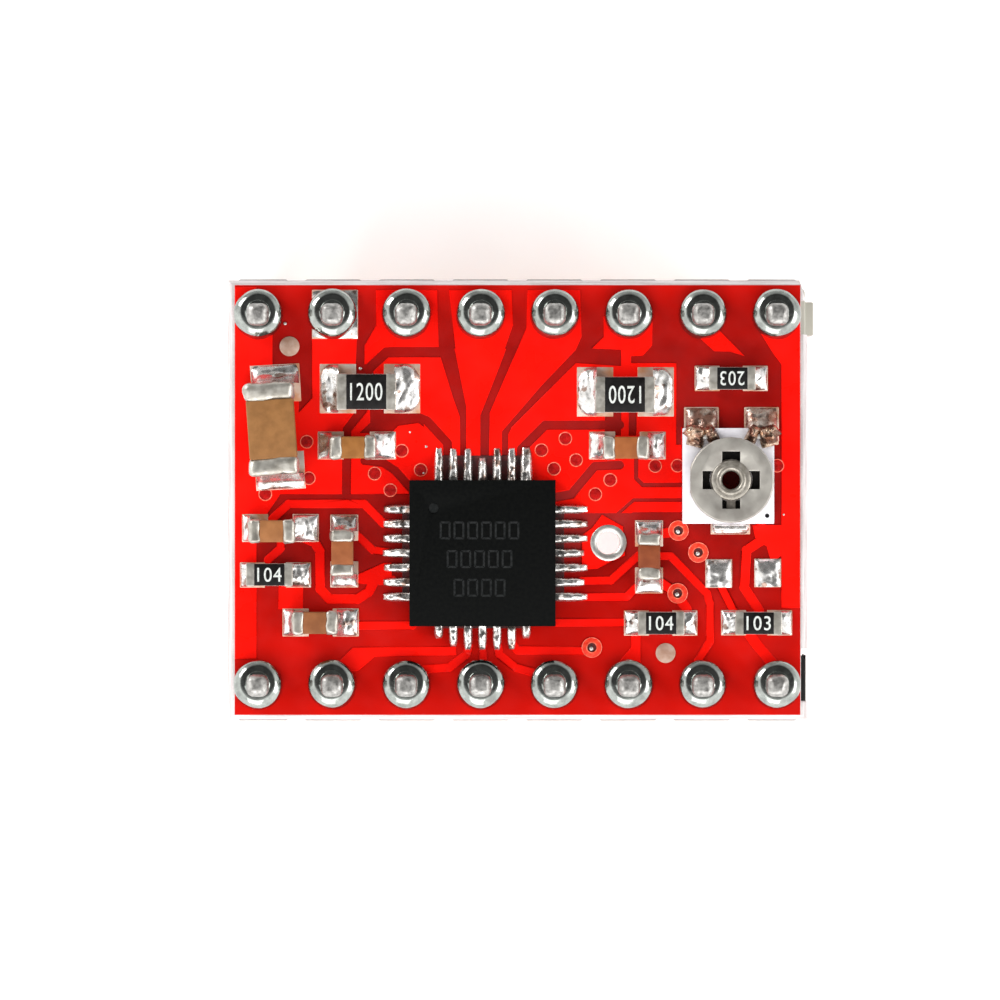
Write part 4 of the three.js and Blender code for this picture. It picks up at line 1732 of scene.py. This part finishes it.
@dataclass(frozen=True)
class Case:
    """A standard case of a chip part.

    Attributes:
        kind: What it is.
        length: From end to end.
        width: Across.
        height: Its thickness. Not used.
        cap: The length of each end cap.
        pad: The length of each pad.
        across: The width of each pad.
        climb: How far up its ends the solder reaches, as a share of its height.
        nose: How much narrower the solder is at the outer end of the pad.
    """

    kind: Kind
    length: float
    width: float
    height: float
    cap: float
    pad: float
    across: float
    climb: float = 0.62
    nose: float = 0.05


WIDE_RESISTOR = Case(Kind.RESISTOR, 2.05, 1.25, 0.5, 0.36, 1.25, 1.7, climb=0.8, nose=0.5)
SMALL_RESISTOR = Case(Kind.RESISTOR, 1.6, 0.8, 0.45, 0.3, 0.86, 0.87)
SMALL_CAPACITOR = Case(Kind.CAPACITOR, 1.6, 0.8, 0.8, 0.44, 0.9, 0.96)
BULK_CAPACITOR = Case(Kind.CAPACITOR, 3.2, 1.66, 1.5, 0.64, 1.3, 1.7, climb=0.85, nose=0.15)


@dataclass(frozen=True)
class ChipPart:
    """A chip resistor or capacitor on its two pads.

    Attributes:
        node: Its node in the frame.
        case: Its case.
        pads: The middle of its two pads taken together.
        span: From outer end to outer end of the pads.
        turn: The way that it points, in degrees.
        code: The digits on a resistor.
        tone: The display colour of a capacitor's ceramic.
        skew: How far the pads are turned from the part, in degrees.
    """

    node: str
    case: Case
    pads: Point
    span: float
    turn: float = 0.0
    code: str = ""
    tone: tuple[int, int, int] = (165, 112, 62)
    skew: float = 0.0

    def build(self, board: Board) -> None:
        """Make the part, its pads and its solder.

        Args:
            board: The board that it sits on.
        """
        centre = middle_of(self.node)
        base = board.top + 0.05
        turn = turned_about(centre, self.turn)
        self._caps(centre, base, turn)
        if self.case.kind is Kind.RESISTOR:
            self._resistor(centre, base, turn)
        else:
            self._capacitor(centre, base, turn)
        self._solder(board)

    def _place(self, mesh: BMesh, turn: Matrix) -> BMesh:
        """Turn a mesh about the part's middle, and hand it back."""
        bmesh.ops.transform(mesh, matrix=turn, verts=mesh.verts)
        return mesh

    def _top(self) -> float:
        """The height of the part's top in the frame."""
        return box_of(self.node)[1].z

    def _caps(self, centre: Vector, base: float, turn: Matrix) -> None:
        """The two metal ends, which are lumpy on a capacitor.

        Args:
            centre: The middle of the part.
            base: The height of its underside.
            turn: Its turn on the board.
        """
        case, mesh = self.case, bmesh.new()
        round_off = 0.035 if case.kind is Kind.RESISTOR else 0.08 + 0.06 * case.width
        for end in (-1, 1):
            inner = centre.x + end * (case.length / 2 - case.cap)
            outer = centre.x + end * case.length / 2
            low = (min(inner, outer), centre.y - case.width / 2, base)
            high = (max(inner, outer), centre.y + case.width / 2, self._top())
            rounded_block(mesh, low, high, round_off, 4)
        if case.kind is Kind.CAPACITOR:
            bmesh.ops.subdivide_edges(mesh, edges=mesh.edges, cuts=2, use_grid_fill=True)
            mesh.normal_update()
            for vert in mesh.verts:
                lump = noise_at(vert.co * (3.2 / case.width) + Vector((0, 0, 3.7 * centre.x)))
                vert.co += vert.normal * (0.075 * case.width * lump)
        finish_piece(f"{self.node}_ends", self._place(mesh, turn), END_CAP, stands_for=[self.node])

    def _resistor(self, centre: Vector, base: float, turn: Matrix) -> None:
        """White ceramic, a black glaze on top and the printed digits.

        Args:
            centre: The middle of the part.
            base: The height of its underside.
            turn: Its turn on the board.
        """
        case, top = self.case, self._top()
        mesh, glaze = bmesh.new(), bmesh.new()
        x, y = case.length / 2 - 0.05, case.width / 2 - 0.02
        low = (centre.x - x, centre.y - y, base + 0.02)
        rounded_block(mesh, low, (centre.x + x, centre.y + y, top - 0.05), 0.02)
        finish_piece(f"{self.node}_ceramic", self._place(mesh, turn), RESISTOR_CERAMIC)
        x = case.length / 2 - case.cap + 0.02
        y -= 0.005
        low = (centre.x - x, centre.y - y, top - 0.06)
        rounded_block(glaze, low, (centre.x + x, centre.y + y, top + 0.012), 0.02)
        finish_piece(f"{self.node}_glaze", self._place(glaze, turn), RESISTOR_GLAZE)
        high, wide = 0.28 + 0.26 * case.width, 1.66 * (case.length / 2 - case.cap)
        digits = printed_digits(self.code, height=high, width=wide)
        bmesh.ops.translate(digits, vec=(centre.x, centre.y, top + 0.011), verts=digits.verts)
        finish_piece(f"{self.node}_digits", self._place(digits, turn), PRINTED_WHITE)

    def _capacitor(self, centre: Vector, base: float, turn: Matrix) -> None:
        """A block of fired ceramic, a little thinner than its ends.

        Args:
            centre: The middle of the part.
            base: The height of its underside.
            turn: Its turn on the board.
        """
        case, mesh = self.case, bmesh.new()
        x, y = case.length / 2 - case.cap + 0.05, case.width / 2 - 0.025
        low = (centre.x - x, centre.y - y, base + 0.02)
        rounded_block(mesh, low, (centre.x + x, centre.y + y, self._top() - 0.025), 0.05, 3)
        finish = ceramic_finish(f"{self.node}_fired", *self.tone)
        finish_piece(f"{self.node}_ceramic", self._place(mesh, turn), finish)

    def _solder(self, board: Board) -> None:
        """The two pads, each with solder that runs up to the part.

        Args:
            board: The board that they are on.
        """
        case, centre = self.case, middle_of(self.node)
        heading = self.turn - self.skew
        turn = turned_about(self.pads, heading)
        along = Vector((math.cos(math.radians(heading)), math.sin(math.radians(heading)), 0))
        copper, solder = bmesh.new(), bmesh.new()
        for end in (-1, 1):
            outer = end * self.span / 2
            inner = outer - end * case.pad
            low = (self.pads[0] + min(inner, outer), self.pads[1] - case.across / 2, board.top)
            high = (self.pads[0] + max(inner, outer), self.pads[1] + case.across / 2, board.top + PAD_TOP)
            rounded_block(copper, low, high, 0.02)
            edge = Vector((*self.pads, 0)) + along * (outer - end * 0.03)
            gap = end * (edge - Vector((centre.x, centre.y, 0))).dot(along) - case.length / 2
            fillet = Fillet(
                length=max(0.12, gap + 0.06),
                width=case.across - 0.05,
                rise=case.climb * (self._top() - board.top),
                tail=0.09,
                crown=0.05,
                nose=case.nose,
                seed=round(31 * self.pads[0] + 17 * self.pads[1]) + end,
            )
            fillet.add(solder, (edge.x, edge.y, board.top + SOLDER_FOOT), heading + (0 if end < 0 else 180))
        bmesh.ops.transform(copper, matrix=turn, verts=copper.verts)
        finish_piece(f"{self.node}_pads", copper, PAD_RIM)
        finish_piece(f"{self.node}_solder", solder, PAD_SOLDER, sharp=60)


def printed_digits(code: str, height: float, width: float) -> BMesh:
    """Digits as a thin mesh, centred on the origin.

    Args:
        code: The digits.
        height: Their height.
        width: The width of the whole code.

    Returns:
        The mesh, in millimetres.
    """
    curve = bpy.data.curves.new("digits", "FONT")
    curve.body = code
    curve.extrude = 0.01
    curve.offset = 0.004
    curve.space_character = 1.1
    holder = bpy.data.objects.new("digits", curve)
    bpy.context.scene.collection.objects.link(holder)
    data = bpy.data.meshes.new_from_object(holder.evaluated_get(bpy.context.evaluated_depsgraph_get()))
    mesh = bmesh.new()
    mesh.from_mesh(data)
    bpy.data.objects.remove(holder)
    bpy.data.curves.remove(curve)
    bpy.data.meshes.remove(data)
    bmesh.ops.remove_doubles(mesh, verts=mesh.verts, dist=1e-5)
    low = Vector([min(vert.co[axis] for vert in mesh.verts) for axis in range(3)])
    high = Vector([max(vert.co[axis] for vert in mesh.verts) for axis in range(3)])
    bmesh.ops.translate(mesh, vec=-(low + high) / 2, verts=mesh.verts)
    size = high - low
    bmesh.ops.scale(mesh, vec=(width / size.x, height / size.y, 0.008 / size.z), verts=mesh.verts)
    return mesh


CHIP_PARTS = (
    ChipPart("sense_resistor_left", WIDE_RESISTOR, (-5.06, 3.82), 3.45, code="1200"),
    ChipPart("sense_resistor_right", WIDE_RESISTOR, (3.7, 3.71), 3.33, turn=180.0, code="1200"),
    ChipPart("reference_resistor", SMALL_RESISTOR, (7.33, 4.17), 2.51, turn=180.0, code="203"),
    ChipPart("sleep_pullup_resistor", SMALL_RESISTOR, (-8.3, -2.57), 2.44, code="104"),
    ChipPart("enable_pulldown_resistor", SMALL_RESISTOR, (4.91, -4.22), 2.52, code="104"),
    ChipPart("oscillator_resistor", SMALL_RESISTOR, (8.2, -4.21), 2.44, code="103"),
    ChipPart("bulk_capacitor", BULK_CAPACITOR, (-8.22, 2.5), 4.3, turn=94.0, tone=(140, 98, 56), skew=1.0),
    ChipPart("motor_supply_capacitor_left", SMALL_CAPACITOR, (-5.51, 1.87), 2.69, tone=(148, 98, 48)),
    ChipPart("motor_supply_capacitor_right", SMALL_CAPACITOR, (3.77, 1.87), 2.64, tone=(150, 88, 46)),
    ChipPart("charge_pump_capacitor", SMALL_CAPACITOR, (-8.13, -0.96), 2.64, tone=(150, 100, 60)),
    ChipPart("reservoir_capacitor", SMALL_CAPACITOR, (-5.94, -1.75), 2.5, turn=90.0, tone=(146, 86, 50)),
    ChipPart("regulator_capacitor", SMALL_CAPACITOR, (-6.75, -4.2), 2.62, tone=(136, 86, 52)),
    ChipPart("logic_supply_capacitor", SMALL_CAPACITOR, (4.51, -1.95), 2.51, turn=90.0, tone=(130, 66, 36)),
)


# ---------------------------------------------------------------- trimmer


@dataclass
class Trimmer:
    """The trimmer's ceramic base, terminals, eyelet and turning rotor.

    Attributes:
        bead: The profile of the eyelet's rolled rim, as radius and height over the dish's floor.
        pad: The length and width of each end pad.
        claws: The lumps on each end terminal: sideways shift, reach, width and tilt in degrees.
    """

    bead: tuple[Point, ...] = (
        (0.38, -0.9), (0.38, -0.02), (0.6, 0.0), (0.66, 0.02), (0.67, 0.045), (0.64, 0.065), (0.56, 0.07),
        (0.52, 0.075), (0.5, 0.1), (0.45, 0.125), (0.4, 0.12), (0.345, 0.08), (0.32, 0.0), (0.31, -0.1),
        (0.31, -0.9), (0.38, -0.9),
    )
    pad: Point = (1.2, 1.2)
    claws: tuple[tuple[float, float, float, float], ...] = (
        (-0.1, 0.72, 0.62, -14.0), (0.16, 0.62, 0.44, 28.0), (-0.26, 0.45, 0.36, -38.0),
    )

    def build(self, board: Board) -> None:
        """Make every piece of the trimmer.

        Args:
            board: The board that it is soldered to.
        """
        base = soft_copy("trimmer_base", 0.03, crease=60)
        finish_piece("trimmer_ceramic", base, ALUMINA, stands_for=["trimmer_base"])
        dress("trimmer_track", RESISTIVE_FILM)
        dress("trimmer_wiper", SPRING_METAL)
        rotor = soft_copy("trimmer_rotor", 0.012, crease=28)
        finish_piece("trimmer_dial", rotor, ROTOR_METAL, Body.ROTOR, stands_for=["trimmer_rotor"])
        for name in ("end_terminal_left", "end_terminal_right", "wiper_terminal"):
            node = f"trimmer_{name}"
            strap = soft_copy(node, 0.02)
            finish_piece(f"{node}_strap", strap, TINNED_COPPER, stands_for=[node])
        self._eyelet()
        self._gap_shade()
        self._solder(board)
        self._dot()

    def _eyelet(self) -> None:
        """The hollow eyelet with its rolled rim."""
        node = "trimmer_eyelet"
        centre = middle_of(node)
        dish = box_of(node)[1].z - 0.1
        mesh = bmesh.new()
        turned(mesh, self.bead, (centre.x, centre.y, dish), 40)
        finish_piece("trimmer_rolled_eyelet", mesh, EYELET_METAL, stands_for=[node])

    def _gap_shade(self) -> None:
        """A dark patch of painted shade over the gap between the two ends of the resistive film, where the
        rotor's slot looks down on it.
        """
        film = box_of("trimmer_track")[0].z
        centre = middle_of("trimmer_eyelet")
        mesh = bmesh.new()
        wide, inner, outer = 0.4, 0.6, 1.27
        low = (centre.x - wide, centre.y + inner, film - 0.01)
        rounded_block(mesh, low, (centre.x + wide, centre.y + outer, film + 0.012), 0.004, 1)
        # Painted shade: a dark sheet where the bare gap lies in the rotor's shadow.
        finish_piece("trimmer_gap_shade", mesh, RESISTIVE_FILM)

    def _solder(self, board: Board) -> None:
        """The pads of the three terminals with their uneven solder.

        Args:
            board: The board that they are on.
        """
        pads, blobs, claws, tab = (bmesh.new() for _ in range(4))
        length, width = self.pad
        plated = board.top + PAD_TOP
        for seed, (side, nudge, mirror) in enumerate((("left", 0.02, 1), ("right", 0.06, -1))):
            low, high = box_of(f"trimmer_end_terminal_{side}")
            x = (low.x + high.x) / 2 + nudge
            far = high.y + 0.16
            corner = (x - width / 2, far - length, board.top)
            rounded_block(pads, corner, (x + width / 2, far, plated), 0.04)
            blob = Fillet(0.9, width - 0.12, 0.5, tail=0.1, crown=0.12, seed=40 + seed)
            blob.add(blobs, (x, far - 0.04, board.top + SOLDER_FOOT), -90.0)
            for part, (shift, reach, wide, tilt) in enumerate(self.claws):
                start = 50 + 5 * seed + part
                lump = Fillet(reach, wide, 0.12, tail=0.26, crown=0.16, nose=0.3, seed=start)
                spot = (x + mirror * shift, high.y - 0.5, high.z - 0.2)
                lump.add(claws, spot, -90.0 + mirror * tilt)
        low, high = box_of("trimmer_wiper_terminal")
        x = (low.x + high.x) / 2
        half = 0.68
        corner = (x - half, low.y - 0.06, board.top)
        rounded_block(pads, corner, (x + half, low.y + 0.6, plated), 0.03)
        blob = Fillet(0.2, 1.24, 0.22, tail=0.14, crown=0.03, nose=0.2, seed=60)
        blob.add(tab, (x, low.y - 0.04, board.top + SOLDER_FOOT), 90.0)
        half = 0.58
        corner = (x - half, low.y + 0.07, high.z - 0.12)
        rounded_block(tab, corner, (x + half, low.y + 0.3, high.z + 0.06), 0.06, 3)
        finish_piece("trimmer_pads", pads, PAD_RIM)
        finish_piece("trimmer_tab_solder", tab, LEAD_SOLDER, sharp=60)
        finish_piece("trimmer_solder", blobs, TERMINAL_SOLDER, sharp=60)
        finish_piece("trimmer_claws", claws, CLAW_SOLDER, sharp=60)

    def _dot(self) -> None:
        """The small printed dot on the corner of the base."""
        low, high = box_of("trimmer_base")
        mesh = bmesh.new()
        dot = ((0, -0.01), (0.075, -0.01), (0.075, 0.004), (0, 0.006))
        turned(mesh, dot, (high.x - 0.24, low.y + 0.27, high.z), 20)
        finish_piece("trimmer_dot", mesh, MARKING_INK)


# ---------------------------------------------------------------- studio


@dataclass
class Studio:
    """A pale floor, soft light all round and a camera that looks straight down.

    Attributes:
        lamps: The soft panels: name, place and side in metres, and power in watts.
        distance: From the camera to the board's top, in metres.
        field: The width that the camera sees at the board's top, in metres.
        aim: Where it looks, from the board's middle, in metres.
        floor_size: The side of the floor, in metres.
        shade: The way to the middle of the dark part of the sky.
        shade_edge: Where that part fades, as the cosine of the angle from its middle.
        shade_light: The strength of the sky outside it and inside it.
        dim_side: From where to where along Y the sky grows dimmer.
        dim_light: Its share of light at those two places.
    """

    lamps: tuple[tuple[str, Triple, float, float], ...] = (
        ("left_panel", (-0.42, 0.3, 0.24), 0.22, 1.9),
        ("right_panel", (0.42, -0.1, 0.27), 0.26, 1.0),
        ("front_panel", (-0.08, -0.42, 0.32), 0.36, 1.1),
    )
    distance: float = 0.32
    field: float = 0.0343
    aim: Point = (-0.0006, 0.0)
    floor_size: float = 1.6
    shade: Triple = (0.03, 0.38, 0.92)
    shade_edge: Span = (0.58, 0.86)
    shade_light: Span = (1.85, 0.13)
    dim_side: Span = (-0.2, 0.9)
    dim_light: Span = (1.0, 0.4)

    def build(self, board: Board) -> None:
        """Set up the floor, the lights and the camera.

        Args:
            board: The board that the camera looks at.
        """
        self._floor()
        self._sky()
        for lamp in self.lamps:
            self._lamp(*lamp)
        self._camera(board)
        bpy.context.scene.view_settings.view_transform = "Standard"

    def _floor(self) -> None:
        """A plain pale floor under the pin tips."""
        mesh = bmesh.new()
        bmesh.ops.create_grid(mesh, x_segments=1, y_segments=1, size=self.floor_size / 2)
        data = bpy.data.meshes.new("floor")
        mesh.to_mesh(data)
        mesh.free()
        grey = ((0.9, 0.9, 0.9), (0.92, 0.92, 0.92))
        pale = Finish("pale_floor", grey, (0.7, 0.8), patch=60.0, depth=0.0, glow=0.22)
        data.materials.append(pale.material())
        floor = bpy.data.objects.new("floor", data)
        bpy.context.scene.collection.objects.link(floor)

    def _sky(self) -> None:
        """Soft light all round that is dimmer overhead and towards the power row."""

        def ranged(value: NodeSocket, source: Span, target: Span) -> NodeSocket:
            """Map one range onto another.

            Args:
                value: The value to map.
                source: The range that it comes from.
                target: The range that it goes to.

            Returns:
                The mapped value.
            """
            node = tree.nodes.new("ShaderNodeMapRange")
            node.inputs["From Min"].default_value, node.inputs["From Max"].default_value = source
            node.inputs["To Min"].default_value, node.inputs["To Max"].default_value = target
            tree.links.new(value, node.inputs["Value"])
            return node.outputs["Result"]

        world = bpy.data.worlds.new("studio")
        bpy.context.scene.world = world
        world.use_nodes = True
        tree = world.node_tree
        background = tree.nodes["Background"]
        place = tree.nodes.new("ShaderNodeTexCoord")
        towards = tree.nodes.new("ShaderNodeVectorMath")
        towards.operation = "DOT_PRODUCT"
        towards.inputs[1].default_value = Vector(self.shade).normalized()
        parts = tree.nodes.new("ShaderNodeSeparateXYZ")
        both = tree.nodes.new("ShaderNodeMath")
        both.operation = "MULTIPLY"
        tree.links.new(place.outputs["Generated"], towards.inputs[0])
        tree.links.new(place.outputs["Generated"], parts.inputs["Vector"])
        fall = ranged(towards.outputs["Value"], self.shade_edge, self.shade_light)
        dim = ranged(parts.outputs["Y"], self.dim_side, self.dim_light)
        tree.links.new(fall, both.inputs[0])
        tree.links.new(dim, both.inputs[1])
        tree.links.new(both.outputs["Value"], background.inputs["Strength"])
        background.inputs["Color"].default_value = (1.0, 1.0, 1.0, 1.0)

    def _lamp(self, name: str, at: Sequence[float], size: float, power: float) -> None:
        """Hang a soft panel that faces the object.

        Args:
            name: The lamp's name.
            at: Its place, in metres.
            size: Its side, in metres.
            power: Its power in watts.
        """
        light = bpy.data.lights.new(name, "AREA")
        light.size = size
        light.energy = power
        lamp = bpy.data.objects.new(name, light)
        lamp.location = at
        lamp.rotation_euler = (-Vector(at)).to_track_quat("-Z", "Y").to_euler()
        bpy.context.scene.collection.objects.link(lamp)

    def _camera(self, board: Board) -> None:
        """Look straight down on the board with a long lens.

        Args:
            board: The board that the camera looks at.
        """
        camera = bpy.data.cameras.new("camera")
        camera.sensor_width = 36.0
        camera.lens = camera.sensor_width * self.distance / self.field
        camera.clip_start = 0.01
        camera.clip_end = 10.0
        holder = bpy.data.objects.new("camera", camera)
        middle = board.middle * MM
        holder.location = (middle.x + self.aim[0], middle.y + self.aim[1], board.top * MM + self.distance)
        bpy.context.scene.collection.objects.link(holder)
        bpy.context.scene.camera = holder


# ---------------------------------------------------------------- the whole


def main() -> None:
    """Build and dress every sub-assembly, then the studio."""
    logging.basicConfig(level=logging.INFO, format="%(name)s %(message)s")
    board = Board()
    board.build()
    HeaderRow("power", square_pad=2).build(board)
    HeaderRow("logic").build(board)
    DriverChip().build(board)
    for part in CHIP_PARTS:
        part.build(board)
    Trimmer().build(board)
    Studio().build(board)


if __name__ == "__main__":
    main()
